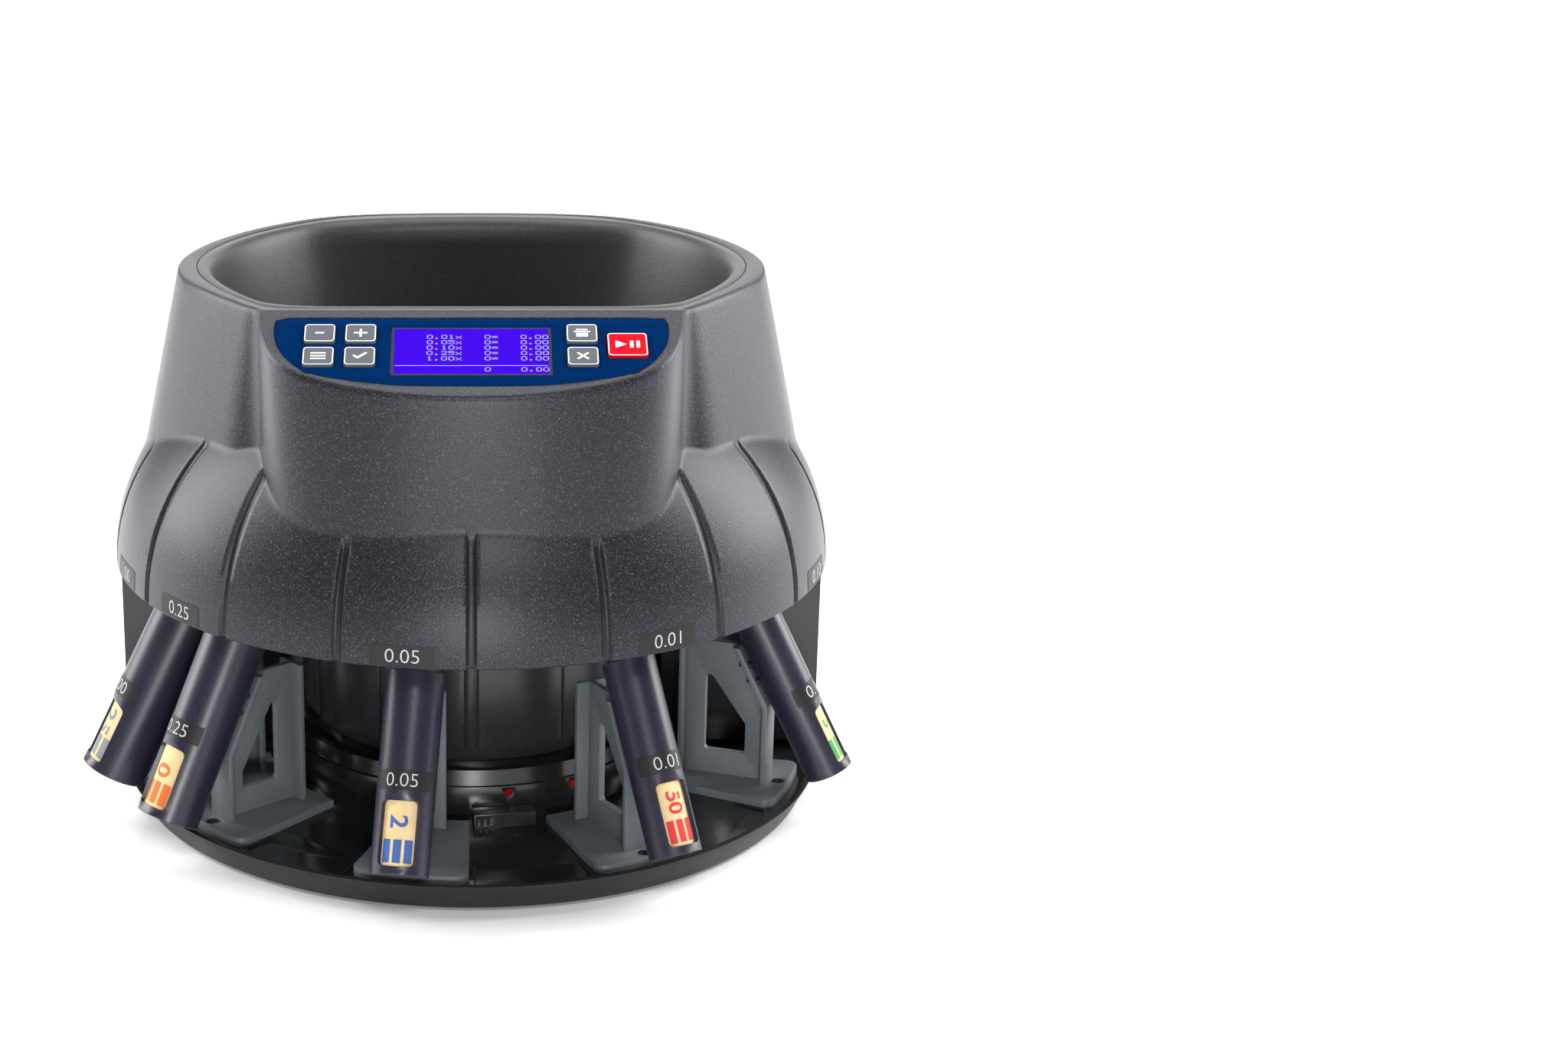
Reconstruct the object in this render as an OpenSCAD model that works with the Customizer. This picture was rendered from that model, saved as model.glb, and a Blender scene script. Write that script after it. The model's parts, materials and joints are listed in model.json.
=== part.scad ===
// Coin sorting machine: an open hopper over a segmented skirt, with coin tubes leaning round a column.
// Millimetres. The origin is on the upright axis at table level, +Z is up and the front faces -Y.

/* [Body] */
// Radius of the skirt at its lower edge
body_r = 177.5; // [174:0.5:182]
// Height of the hopper rim above the table
body_h = 265; // [262:1:272]
// How far the flat back stands inside the skirt's circle
back_step = 25; // [21.5:0.5:27.5]
// Wall thickness of the moulded shells
wall = 3; // [2.6:0.1:3.4]

/* [Skirt] */
// Height of the skirt's lower edge
skirt_z = 122; // [121:0.5:125]
// Radius of the arc that the skirt curves in with
skirt_arc = 100; // [97:1:104]
// Number of segments round the skirt
segment_count = 18; // [17:1:18]
// Width of the groove between two segments
groove_w = 4.5; // [3:0.5:6]
// Depth of the groove between two segments
groove_depth = 1.8; // [1:0.1:2]

/* [Hopper housing] */
// How far the rim stands inside the skirt's circle at the sides
rim_step = 33; // [30.5:0.5:35.5]
// Distance from the flat back to the back of the rim
rim_back_step = 18.5; // [15.5:0.5:22.5]
// Width of the rim's flat top
rim_w = 14; // [12:0.5:16]
// Lean of the housing walls
housing_draft = 12; // [10:0.5:13]
// How far the flattened front corners cut into the rim's circle
corner_flat = 9; // [5:0.5:13]
// Distance that the corner arcs are centred across the axis
corner_shift = 71.5; // [69:0.5:74]
// How far the leaning corner faces stand inside the rim's circle
corner_step = 10; // [9.5:0.5:12]
// Lean of those corner faces
corner_draft = 7.5; // [6.5:0.5:9]
// Direction of the front corners, from the front
corner_angle = 55; // [52:1:58]
// Distance from the panel's upper fold to the hopper opening
hopper_front_step = 10; // [8:0.5:14]
// Radius of the hopper's round mouth
mouth_r = 104; // [100:1:108]
// Height of the hopper's mouth above the feed disc
mouth_rise = 10; // [8:1:14]
// Width of the seat that the hopper's flange rests on
seat_w = 5; // [4:0.5:6]
// Depth of the seat in the rim
seat_depth = 1.5; // [1.2:0.1:1.6]

/* [Control bulge] */
// Half the width of the bulge
bulge_half_w = 96.5; // [95:0.5:98]
// How far the front of the bulge stands inside the skirt's circle
bulge_front_step = 16.5; // [14.5:0.5:18.5]
// Radius of the bulge's bowed front
bulge_bow_r = 205; // [190:5:220]
// Radius of the bulge's front corners
bulge_corner_r = 66.5; // [64:0.5:68]
// Distance from the bulge's front to the middle of those corners
bulge_corner_step = 64; // [63:0.5:66]
// Height at which the bulge meets the skirt in front
bulge_foot_z = 176; // [174:1:178]
// Lean of the bulge's front
bulge_draft = 4; // [3:0.5:5]
// Slope of the control panel
panel_tilt = 20; // [18:0.5:22]
// Distance from the bulge's front to the panel's upper fold
fold_step = 69; // [67:0.5:71]
// Thickness of the control panel plate
panel_t = 1.2; // [1:0.1:1.4]
// Depth of the panel's seat below the bezel
panel_seat = 1.6; // [1.5:0.1:1.8]
// Half the width of the panel plate
panel_half_w = 89; // [88:0.5:90]
// Distance from the fold to the panel's upper edge
panel_top = 6; // [5:0.5:7]
// Distance from the fold to the panel's lower edge
panel_bottom = 61; // [60:0.5:62]
// Radius of the panel's bowed lower edge
panel_bow_r = 235; // [220:5:250]
// Radius of the panel's lower corners
panel_corner_r = 45; // [42:0.5:48]
// Distance from the fold to the middle of those corners
panel_corner_v = 14.5; // [13:0.5:16]
// Width of the display window
display_w = 72; // [70:0.5:74]
// Height of the display window
display_l = 38; // [36:0.5:39]
// Distance from the fold to the middle of the display
display_v = 32; // [31:0.5:33]

/* [Keys] */
// Width of a square key
key_w = 14; // [12:0.5:14.5]
// Width of the large key
start_w = 18; // [16:0.5:18.5]
// Distance between the key columns
key_pitch = 18.5; // [18:0.1:19]
// Distance between the key rows
row_pitch = 18.2; // [17.5:0.1:19]
// Distance from the middle to the inner key column
key_near = 49.8; // [49:0.1:50]
// Height of a key above the panel
key_rise = 1.2; // [0.9:0.1:1.5]
// Travel of a key
key_travel = 0.6; // [0.4:0.1:0.8]
// Clearance round a key
key_gap = 0.35; // [0.3:0.05:0.5]

/* [Base] */
// Height of the tray's rim
tray_h = 16; // [15.5:0.5:16.5]
// How far the tray's rim leans out past its foot
tray_flare = 7; // [5:0.5:9]
// Height of the tray's floor
floor_z = 13; // [12.5:0.5:13.5]
// Thickness of the tray's floor
floor_t = 4; // [3.5:0.5:5]
// Height of the rubber feet below the tray
foot_h = 2.5; // [2:0.5:3]
// Radius of a rubber foot
foot_r = 9; // [8:0.5:11]
// How far the feet stand inside the tray's foot
foot_inset = 30; // [26:1:34]

/* [Column] */
// Radius of the column's plinth
plinth_r = 95; // [94:0.5:97]
// Height of the plinth's top
plinth_z = 38; // [37:0.5:40]
// Radius of the column's drum
drum_r = 86; // [85:0.5:88]
// Height of the drum's lower edge
drum_z = 46; // [44:0.5:48]
// Height of the sorting deck's underside above the skirt's lower edge
deck_rise = 14; // [13.5:0.5:15]
// Thickness of the sorting deck
deck_t = 4; // [3:0.5:4]
// How far the sorting deck stands inside the skirt's circle
deck_step = 6.5; // [6:0.5:8]

/* [Coin tubes] */
// Diameter of the dollar coin
dollar_d = 26.5; // [26:0.1:27]
// Diameter of the quarter
quarter_d = 24.3; // [23.8:0.1:24.8]
// Diameter of the nickel
nickel_d = 21.2; // [20.6:0.1:21.8]
// Diameter of the penny
penny_d = 19.1; // [18.6:0.1:19.6]
// Diameter of the dime
dime_d = 17.9; // [17.4:0.1:18.4]
// Lean of the tubes
tube_lean = 27.5; // [26:0.5:28.5]
// How far a tube's lower end stands out past the skirt's circle
tube_reach = 10.5; // [9.5:0.5:11.5]
// Height of a tube's lower end on its axis
tube_foot_z = 25.5; // [25:0.5:26.5]
// Length of a tube
tube_len = 93; // [90:0.5:94]
// Wall of a tube
tube_wall = 1.9; // [1.6:0.1:2.1]
// Clearance round a coin in its tube
coin_gap = 1; // [1:0.1:1.2]
// Thickness of a tube's floor
tube_floor = 3.5; // [3:0.5:4]
// Length of the tube's window
window_l = 29.5; // [27:0.5:31]
// Height of the window above the tube's lower end
window_z = 4; // [4:0.5:5.5]
// Share of the tube's diameter that the window takes
window_share = 0.64; // [0.55:0.01:0.68]
// Thickness of the rolled paper wrapper
paper_t = 0.4; // [0.3:0.05:0.45]

/* [Tube brackets] */
// Height of a bracket's top
bracket_top_z = 87; // [85:0.5:89]
// Distance from the plinth to a bracket's back edge
bracket_room = 17; // [15:0.5:19]
// How far a bracket's outer edge stands inside the skirt's circle
bracket_step = 20; // [19:0.5:21.5]
// Thickness of a bracket's web
web_t = 3.5; // [3:0.5:4.5]
// Width of a bracket's edge flange
flange_w = 16; // [15:0.5:17]
// Thickness of a bracket's edge flange
flange_t = 3; // [2.5:0.5:3.5]
// Thickness of a bracket's foot
plate_t = 4; // [3.5:0.5:4.5]
// Distance from the plinth to the inner edge of a bracket's foot
plate_room = 9; // [7:0.5:11]
// How far the outer edge of a bracket's foot stands inside the skirt's circle
plate_step = 9.5; // [8.5:0.5:10.5]
// Distance from that edge to the bracket's screw
screw_inset = 6; // [5.5:0.5:6.5]

/* [Drive] */
// Radius of the main shaft
shaft_r = 5; // [4.5:0.25:6]
// Gear module
gear_m = 1.5; // [1.5]
// Teeth of the drive gear
gear_teeth = 60; // [60]
// Teeth of the motor pinion
pinion_teeth = 15; // [15]
// Face width of the gears
gear_w = 8; // [7:0.5:9]
// Distance from the deck's underside down to the drive gear's underside
gear_drop = 34; // [32:0.5:35]
// Room between the motor and the drum's wall
motor_room = 5.75; // [3.75:0.25:7.75]
// Radius of the feed disc
feed_r = 100; // [97:0.5:102]
// Number of paddles that push the coins round
paddle_count = 6; // [4:1:8]

/* [Back panel] */
// Height of the inlet, switch and port on the back
panel_row_z = 48; // [44:1:60]
// Distance of the mains inlet from the middle
inlet_x = -52; // [-56:1:-50]
// Distance of the switch from the middle
switch_x = -12; // [-16:1:-8]
// Distance of the printer port from the middle
port_x = 42; // [36:1:50]

/* [Clearances] */
// Clearance between fixed pieces that fit together
fit_gap = 0.3; // [0.2:0.05:0.4]
// Clearance round a piece that slides or swings
move_gap = 0.4; // [0.35:0.05:0.5]
// Radial clearance of a turning shaft
run_gap = 0.05; // [0.03:0.01:0.08]

/* [Hidden] */
$fn = 96;
far = 600;
cut = 1;
seg = 360 / segment_count;
housing_grey = [0.25, 0.25, 0.27];
base_black = [0.05, 0.05, 0.055];
bracket_grey = [0.38, 0.42, 0.44];
tube_smoke = [0.13, 0.12, 0.2];
kraft = [0.86, 0.73, 0.5];
steel = [0.7, 0.71, 0.73];
board_green = [0.05, 0.3, 0.14];
key_grey = [0.52, 0.53, 0.55];

// Distances from the axis that follow the skirt's circle
base_step = 0.5;
back_y = body_r - back_step;
rim_r = body_r - rim_step;
rim_back_y = back_y - rim_back_step;
corner_r = rim_r - corner_flat + corner_shift;
bulge_front_y = body_r - bulge_front_step;
bulge_corner_y = bulge_front_y - bulge_corner_step;
fold_y = bulge_front_y - fold_step;
hopper_front_y = fold_y - hopper_front_step;
tray_foot_r = body_r - base_step - tray_flare;
foot_circle_r = tray_foot_r - foot_inset;
deck_r = body_r - deck_step;
tube_foot_r = body_r + tube_reach;
bracket_back_r = plinth_r + bracket_room;
bracket_out_r = body_r - bracket_step;
plate_in_r = plinth_r + plate_room;
plate_out_r = body_r - plate_step;
screw_r = plate_out_r - screw_inset;

// Heights that follow the skirt's lower edge
paddle_gap = 2;
paddle_h = 4;
feed_t = 4;
deck_z = skirt_z + deck_rise;
deck_top_z = deck_z + deck_t;
paddle_z = deck_top_z + paddle_gap;
feed_z = paddle_z + paddle_h;
mouth_z = feed_z + feed_t + mouth_rise;
gear_z = deck_z - gear_drop;

// Skirt, housing and bulge form the outside of the top housing, and the same form inset is its inside
skirt_mid_r = body_r - skirt_arc;
skirt_core = 84;
cone_rise = 28;
draft_k = tan(housing_draft);
bulge_k = tan(bulge_draft);
bulge_rise = 38;

function arc_points(x, y, r, from, to, steps) =
  [for (i = [0:steps]) let (t = from + (to - from) * i / steps) [x + r * cos(t), y + r * sin(t)]];

module behind_front(y) translate([-far / 2, y, -cut]) cube([far, far, far]);

module before_back(y) translate([-far / 2, y - far, -cut]) cube([far, far, far]);

module skirt_section(inset) {
  drop = inset > 0 ? cut : 0;
  intersection() {
    union() {
      translate([skirt_mid_r, skirt_z]) circle(r = skirt_arc - inset, $fn = 180);
      translate([0, skirt_z - drop]) square([skirt_mid_r, skirt_core]);
    }
    translate([0, skirt_z - drop]) square([far, far]);
  }
}

module skirt_form(inset) {
  intersection() {
    rotate_extrude($fn = 180) skirt_section(inset);
    before_back(back_y - inset);
  }
}

module skirt_grooves() {
  intersection() {
    rotate_extrude($fn = 180) intersection() {
      difference() {
        translate([skirt_mid_r, skirt_z]) circle(r = skirt_arc + cut, $fn = 180);
        translate([skirt_mid_r, skirt_z]) circle(r = skirt_arc - groove_depth, $fn = 180);
      }
      translate([skirt_mid_r, skirt_z - cut]) square([far, far]);
    }
    for (i = [0:segment_count - 1])
      rotate([0, 0, i * seg]) translate([-groove_w / 2, -far / 2, 0]) cube([groove_w, far / 2, far]);
  }
}

module leaning_cone(top_r, inset) {
  low_z = skirt_z + cone_rise;
  high_z = body_h - inset;
  side = inset / cos(housing_draft);
  translate([0, 0, low_z])
    cylinder(h = high_z - low_z, r1 = top_r - side + (body_h - low_z) * draft_k,
             r2 = top_r - side + inset * draft_k, $fn = 180);
}

// A rounded corner of the rim, flattened by a face that leans less than the walls
module housing_corner(angle, inset) {
  rotate([0, 0, angle]) intersection() {
    translate([0, corner_shift, 0]) leaning_cone(corner_r, inset);
    translate([0, corner_step - rim_r, body_h]) rotate([-corner_draft, 0, 0])
      translate([-far / 2, inset, -far / 2]) cube([far, far, far]);
  }
}

module housing_form(inset) {
  intersection() {
    leaning_cone(rim_r, inset);
    housing_corner(corner_angle, inset);
    housing_corner(-corner_angle, inset);
    translate([0, rim_back_y, body_h]) rotate([housing_draft, 0, 0])
      translate([-far / 2, -far - inset, -far / 2]) cube([far, far, far]);
    before_back(back_y - inset);
    behind_front(-fold_y - wall + inset);
  }
}

module below_panel(depth) {
  at_panel() translate([-far / 2, -far / 2, -far - depth]) cube([far, far, far]);
}

// A plan with a bowed front and two round corners, open towards the back
module bowed_plan(corner_x, corner_y, corner_r, front) {
  translate([-corner_x, -front]) square([2 * corner_x, front]);
  for (side = [-1, 1])
    translate([side * corner_x, -corner_y]) circle(r = corner_r);
}

module bulge_form(inset) {
  low_z = skirt_z + bulge_rise;
  side = inset / cos(bulge_draft);
  bow_low_r = bulge_bow_r - side + (bulge_foot_z - low_z) * bulge_k;
  intersection() {
    translate([0, bulge_bow_r - bulge_front_y, low_z])
      cylinder(h = body_h - low_z, r1 = bow_low_r, r2 = bow_low_r - (body_h - low_z) * bulge_k, $fn = 180);
    translate([0, 0, low_z]) linear_extrude(body_h - inset - low_z)
      bowed_plan(bulge_half_w - bulge_corner_r, bulge_corner_y, bulge_corner_r - inset,
                 bulge_front_y + wall);
    below_panel(inset);
  }
}

// The panel's own frame: X across, Y up the slope from the fold, Z out of the panel
module at_panel() translate([0, -fold_y, body_h]) rotate([panel_tilt, 0, 0]) children();

bezel_clear = 0.2;
seat_border = 5;
seat_border_top = 3;

module panel_plan(grow, top_grow) {
  intersection() {
    translate([0, panel_bow_r - panel_bottom]) circle(r = panel_bow_r + grow, $fn = 180);
    bowed_plan(panel_half_w - panel_corner_r, panel_corner_v, panel_corner_r + grow, panel_bottom + wall);
    translate([-far / 2, -far]) square([far, far - panel_top + top_grow]);
  }
}

module rim_plan(inset, front) {
  intersection() {
    circle(r = rim_r - inset);
    rotate(corner_angle) translate([0, corner_shift]) circle(r = corner_r - inset);
    rotate(-corner_angle) translate([0, corner_shift]) circle(r = corner_r - inset);
    translate([-far / 2, -front]) square([far, front + rim_back_y - inset]);
  }
}

screw_angles = [5.5, 6.5, 11.5, 12.5] * seg;
screw_rise = 3.2;
screw_z = skirt_z + screw_rise;
screw_hole_r = 1.7;
screw_hole_l = 8;

function screw_reach(a) = min(body_r, back_y / abs(cos(a)));

module at_screw(a) rotate([0, 0, a]) translate([0, -screw_reach(a), screw_z]) rotate([90, 0, 0]) children();

module screw_holes(r) {
  for (a = screw_angles)
    at_screw(a) translate([0, 0, -screw_hole_l]) cylinder(h = screw_hole_l + cut, r = r, $fn = 24);
}

module top_housing() {
  color(housing_grey) difference() {
    union() {
      difference() {
        skirt_form(0);
        skirt_grooves();
      }
      housing_form(0);
      bulge_form(0);
    }
    skirt_form(wall);
    housing_form(wall);
    bulge_form(wall);
    translate([0, 0, body_h - wall - cut])
      linear_extrude(wall + 2 * cut) rim_plan(rim_w - fit_gap, hopper_front_y + fit_gap + wall * bowl_lean);
    translate([0, 0, body_h - seat_depth])
      linear_extrude(seat_depth + cut) rim_plan(rim_w - seat_w - fit_gap, hopper_front_y + seat_w + fit_gap);
    at_panel() translate([0, 0, -panel_seat])
      linear_extrude(panel_seat + cut) panel_plan(bezel_clear, bezel_clear);
    at_panel() translate([0, 0, -wall - cut])
      linear_extrude(wall + 2 * cut) panel_plan(-seat_border, -seat_border_top);
    at_panel() translate([0, 0, -wall - cut])
      linear_extrude(wall + cut - panel_seat + bezel_clear)
        for (k = key_spots)
          translate([k[0], k[1]]) square(k[2] + 2 * (key_flange + move_gap), center = true);
    screw_holes(screw_hole_r);
  }
}

flange_drop = 0.1;
flange_thick = seat_depth - flange_drop;
bowl_wall = 2.5;
bowl_lean = (mouth_r + bowl_wall - hopper_front_y) / (body_h - mouth_z);

module bowl_form(inset, extra) {
  hull() {
    translate([0, 0, body_h - flange_drop - cut + extra]) linear_extrude(cut)
      rim_plan(rim_w + inset, hopper_front_y - inset, $fn = 64);
    translate([0, 0, mouth_z - extra]) linear_extrude(cut) circle(r = mouth_r + bowl_wall - inset, $fn = 64);
  }
}

module hopper_bowl() {
  color(housing_grey) difference() {
    union() {
      bowl_form(0, 0);
      translate([0, 0, body_h - seat_depth]) linear_extrude(flange_thick)
        rim_plan(rim_w - seat_w, hopper_front_y + seat_w);
    }
    bowl_form(bowl_wall, cut);
  }
}

// Control panel, display and keys
display_clear = 0.2;
key_flange = 1;
key_left = -key_near - key_pitch;
key_right = key_near + key_pitch + 1.7;
row_high = -19.2;
row_low = row_high - row_pitch;
key_spots = [[key_left, row_high, key_w], [-key_near, row_high, key_w], [key_left, row_low, key_w],
  [-key_near, row_low, key_w], [key_near, row_high, key_w], [key_near, row_low, key_w],
  [key_right, (row_high + row_low) / 2, start_w]];
key_depth = 2;
key_flange_t = 1.2;
board_depth = 6.2;
board_t = 1.6;
stem_gap = 0.3;
stem_r = 2;

module control_panel() {
  color([0.02, 0.12, 0.32]) at_panel() translate([0, 0, -panel_seat]) difference() {
    linear_extrude(panel_t) panel_plan(0, 0);
    translate([-display_w / 2 - display_clear, -display_v - display_l / 2 - display_clear, -cut])
      cube([display_w + 2 * display_clear, display_l + 2 * display_clear, far]);
    for (k = key_spots)
      translate([k[0], k[1], 0]) cube([k[2] + 2 * key_gap, k[2] + 2 * key_gap, far], center = true);
  }
}

module display_window() {
  color([0.3, 0.1, 0.9, 0.6]) at_panel()
    translate([-display_w / 2, -display_v - display_l / 2, -panel_seat])
      cube([display_w, display_l, panel_t]);
}

module display_module() {
  rise = board_depth - panel_seat;
  side = 2.5;
  low = 0.8;
  high = 2.5;
  color([0.15, 0.15, 0.16]) at_panel()
    translate([-display_w / 2 - side, -display_v - display_l / 2 - low, -board_depth])
      cube([display_w + 2 * side, display_l + low + high, rise]);
}

module key_cap(i, tint) {
  k = key_spots[i];
  stem_l = board_depth - key_depth - key_flange_t - key_travel - stem_gap;
  color(tint) at_panel() translate([k[0], k[1], -key_depth]) {
    linear_extrude(key_depth - panel_seat + panel_t + key_rise) square(k[2], center = true);
    translate([0, 0, -key_flange_t])
      linear_extrude(key_flange_t) square(k[2] + 2 * key_flange, center = true);
    translate([0, 0, -key_flange_t - stem_l]) cylinder(h = stem_l + cut, r = stem_r, $fn = 32);
  }
}

module key_minus() key_cap(0, key_grey);

module key_plus() key_cap(1, key_grey);

module key_mode() key_cap(2, key_grey);

module key_set() key_cap(3, key_grey);

module key_print() key_cap(4, key_grey);

module key_clear() key_cap(5, key_grey);

module key_start() key_cap(6, [0.85, 0.08, 0.1]);

post_u = 85.5;
post_v = [-13, -22];
post_r = 2.5;
board_half_u = 68;
board_top_v = -8;
board_low_v = -52;
ear_low_v = -26;

module control_board() {
  ear_half_u = post_u + post_r;
  color(board_green) at_panel() {
    translate([-ear_half_u, ear_low_v, -board_depth - board_t])
      cube([2 * ear_half_u, board_top_v - ear_low_v, board_t]);
    translate([-board_half_u, board_low_v, -board_depth - board_t])
      cube([2 * board_half_u, board_top_v - board_low_v, board_t]);
    for (side = [-1, 1])
      for (v = post_v)
        translate([side * post_u, v, -board_depth - board_t / 2])
          cylinder(h = board_depth + board_t / 2 - wall, r = post_r, $fn = 32);
  }
}

// Base tray and feet
tray_lip = 3;
foot_pad = 1;

module tray_section(inset) {
  polygon([[0, foot_h], [tray_foot_r - inset, foot_h], [tray_foot_r + tray_flare - inset, tray_h],
           [0, tray_h]]);
}

module tray_form(inset) {
  intersection() {
    rotate_extrude($fn = 180) tray_section(inset);
    before_back(back_y - inset);
  }
}

module base_tray() {
  color(base_black) difference() {
    tray_form(0);
    intersection() {
      tray_form(tray_lip);
      translate([0, 0, floor_z]) cylinder(h = far, r = far);
    }
    intersection() {
      translate([0, 0, -cut / 2]) tray_form(tray_lip);
      cylinder(h = floor_z - floor_t, r = far);
      difference() {
        cylinder(h = far, r = far);
        for (a = foot_angles)
          rotate([0, 0, a]) translate([0, -foot_circle_r, -cut]) cylinder(h = far, r = foot_r + foot_pad);
        translate([0, 0, -cut]) cylinder(h = far, r = foot_r + foot_pad);
      }
    }
    for (i = [0:4])
      at_segment(i) translate([0, -screw_r, floor_z - floor_t - cut])
        cylinder(h = far, r = thread_r, $fn = 32);
  }
}

foot_angles = [0, 72, 144, 216, 288];

module rubber_feet() {
  color([0.08, 0.08, 0.08]) {
    for (a = foot_angles)
      rotate([0, 0, a]) translate([0, -foot_circle_r, 0]) cylinder(h = foot_h, r = foot_r);
    cylinder(h = foot_h, r = foot_r);
  }
}

// Column: a plinth on the tray, and a drum with a recessed neck that carries the sorting deck
neck_step = 6;
neck_r = drum_r - neck_step;
plinth_band = 8;
plinth_step_z = plinth_z - plinth_band;
plinth_step = 2;
seam_w = 0.8;
seam_depth = 0.7;
seam_angles = [-31, -2, 2, 31, 62, -62];

module column_base() {
  color(base_black) difference() {
    rotate_extrude($fn = 180)
      polygon([[plinth_r - wall - plinth_step, floor_z], [plinth_r, floor_z], [plinth_r, plinth_step_z],
               [plinth_r - plinth_step, plinth_step_z], [plinth_r - plinth_step, plinth_z],
               [neck_r - wall, plinth_z], [neck_r - wall, plinth_z - wall],
               [plinth_r - wall - plinth_step, plinth_z - wall]]);
    for (a = lamp_angles)
      lamp_frame(a) {
        cylinder(h = 2 * plinth_step + 2 * wall, r = lamp_r + fit_gap, center = true, $fn = 24);
        translate([0, 0, -lamp_seat - 2 * wall])
          cylinder(h = 2 * wall, r = lamp_collar_r + fit_gap, $fn = 32);
      }
  }
}

lamp_angles = [11, 31];
lamp_r = 1.6;
lamp_z = 26.5;
lamp_seat = 2;
lamp_collar_r = 2.6;

module lamp_frame(a) rotate([0, 0, a]) translate([0, -plinth_r, lamp_z]) rotate([90, 0, 0]) children();

module indicator_lamps() {
  color([0.8, 0.02, 0.02])
    for (a = lamp_angles)
      lamp_frame(a) {
        translate([0, 0, -lamp_seat - cut]) cylinder(h = lamp_seat + cut, r = lamp_r, $fn = 24);
        translate([0, 0, -lamp_seat - wall]) cylinder(h = wall, r = lamp_collar_r, $fn = 32);
        sphere(r = lamp_r, $fn = 24);
      }
}

clip_angle = 9;
clip_size = [30, 9, 7];
clip_slot = [1.2, 0.6, 4.5];
clip_slot_pitch = 3;
clip_slot_z = 1.5;

module column_clip() {
  color([0.12, 0.12, 0.13]) rotate([0, 0, clip_angle])
    translate([-clip_size[0] / 2, -plinth_r - clip_size[1] - fit_gap, floor_z]) difference() {
      cube(clip_size);
      for (i = [0:2])
        translate([clip_slot[0] + clip_slot_pitch * i, -cut, clip_slot_z])
          cube([clip_slot[0], cut + clip_slot[1], clip_slot[2]]);
    }
}

module column_drum() {
  color([0.1, 0.1, 0.11]) difference() {
    rotate_extrude($fn = 180)
      polygon([[neck_r - wall, plinth_z], [neck_r, plinth_z], [neck_r, drum_z], [drum_r, drum_z],
               [drum_r, deck_z], [drum_r - wall, deck_z], [drum_r - wall, drum_z + wall],
               [neck_r - wall, drum_z + wall]]);
    for (a = seam_angles)
      rotate([0, 0, a]) translate([-seam_w / 2, -drum_r - cut, drum_z - cut])
        cube([seam_w, cut + seam_depth, deck_z - drum_z]);
  }
}

// Rear housing behind the column, with a lip inside the skirt
rear_r = body_r - base_step;
column_room = 2;
lip_h = 6;
lip_t = 2.5;
lip_start = 6;

module rear_form(inset, low_z, high_z) {
  intersection() {
    translate([0, 0, low_z]) cylinder(h = high_z - low_z, r = rear_r - inset, $fn = 180);
    before_back(back_y - inset);
    behind_front(inset);
  }
}

module back_hole(x, w, h) {
  translate([x - w / 2, back_y - wall - cut, panel_row_z - h / 2]) cube([w, wall + 2 * cut, h]);
}

module rear_lip(inset, low_z, high_z) {
  difference() {
    rear_form(inset, low_z, high_z);
    rear_form(wall + fit_gap + lip_t, low_z - cut, high_z + cut);
    translate([-far / 2, -far / 2, 0]) cube([far, far / 2 + wall + lip_start, far]);
  }
}

module rear_housing() {
  color(base_black) difference() {
    union() {
      difference() {
        rear_form(0, tray_h, skirt_z);
        rear_form(wall, tray_h - cut, skirt_z + cut);
      }
      rear_lip(wall / 2, skirt_z - lip_h, skirt_z);
      rear_lip(wall + fit_gap, skirt_z - lip_h, skirt_z + lip_h);
    }
    translate([0, 0, tray_h - cut]) cylinder(h = far, r = plinth_r + column_room);
    back_hole(inlet_x, inlet_w + 2 * fit_gap, inlet_h + 2 * fit_gap);
    back_hole(switch_x, switch_w + 2 * fit_gap, switch_h + 2 * fit_gap);
    back_hole(port_x, port_w + 2 * fit_gap, port_h + 2 * fit_gap);
    screw_holes(thread_r);
  }
}

skirt_head_h = 1.6;
skirt_head_r = 3;
thread_gap = 0.1;

module housing_screws() {
  color(steel)
    for (a = screw_angles)
      at_screw(a) {
        cylinder(h = skirt_head_h, r = skirt_head_r, $fn = 32);
        translate([0, 0, -wall - lip_t])
          cylinder(h = wall + lip_t + cut, r = thread_r - thread_gap, $fn = 24);
      }
}

// Coin tubes, their paper wrappers and their brackets, in the order dollar, quarter, nickel, penny, dime
coin_d = [dollar_d, quarter_d, nickel_d, penny_d, dime_d];
roll_len = [50, 70, 78, 76, 67.5];
tube_segment = [-3.5, -2.5, -0.5, 1.5, 3.5];
thread_r = 1.4;
lean_k = tan(tube_lean);
peg_r = 1.5;
peg_side = 5;
peg_heights = [70, 78];
peg_reach = 5;

function tube_angle(i) = tube_segment[i] * seg;
function tube_r(i) = coin_d[i] / 2 + coin_gap + tube_wall;
function axis_r(z) = tube_foot_r - (z - tube_foot_z) * lean_k;
function mouth_high_z(i) = tube_foot_z + tube_len * cos(tube_lean) + tube_r(i) * sin(tube_lean);
function back_r(i, z) = axis_r(z) - (tube_r(i) + move_gap) / cos(tube_lean);

module at_segment(i) rotate([0, 0, tube_angle(i)]) children();

module at_tube(i) {
  at_segment(i) translate([0, -tube_foot_r, tube_foot_z]) rotate([-tube_lean, 0, 0]) children();
}

module tube_pegs(i, grow) {
  at_segment(i)
    for (side = [-1, 1])
      for (z = peg_heights)
        translate([side * peg_side, -axis_r(z), z]) rotate([-90, 0, 0])
          cylinder(h = axis_r(z) - back_r(i, z) + peg_reach, r = peg_r + grow, $fn = 24);
}

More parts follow.
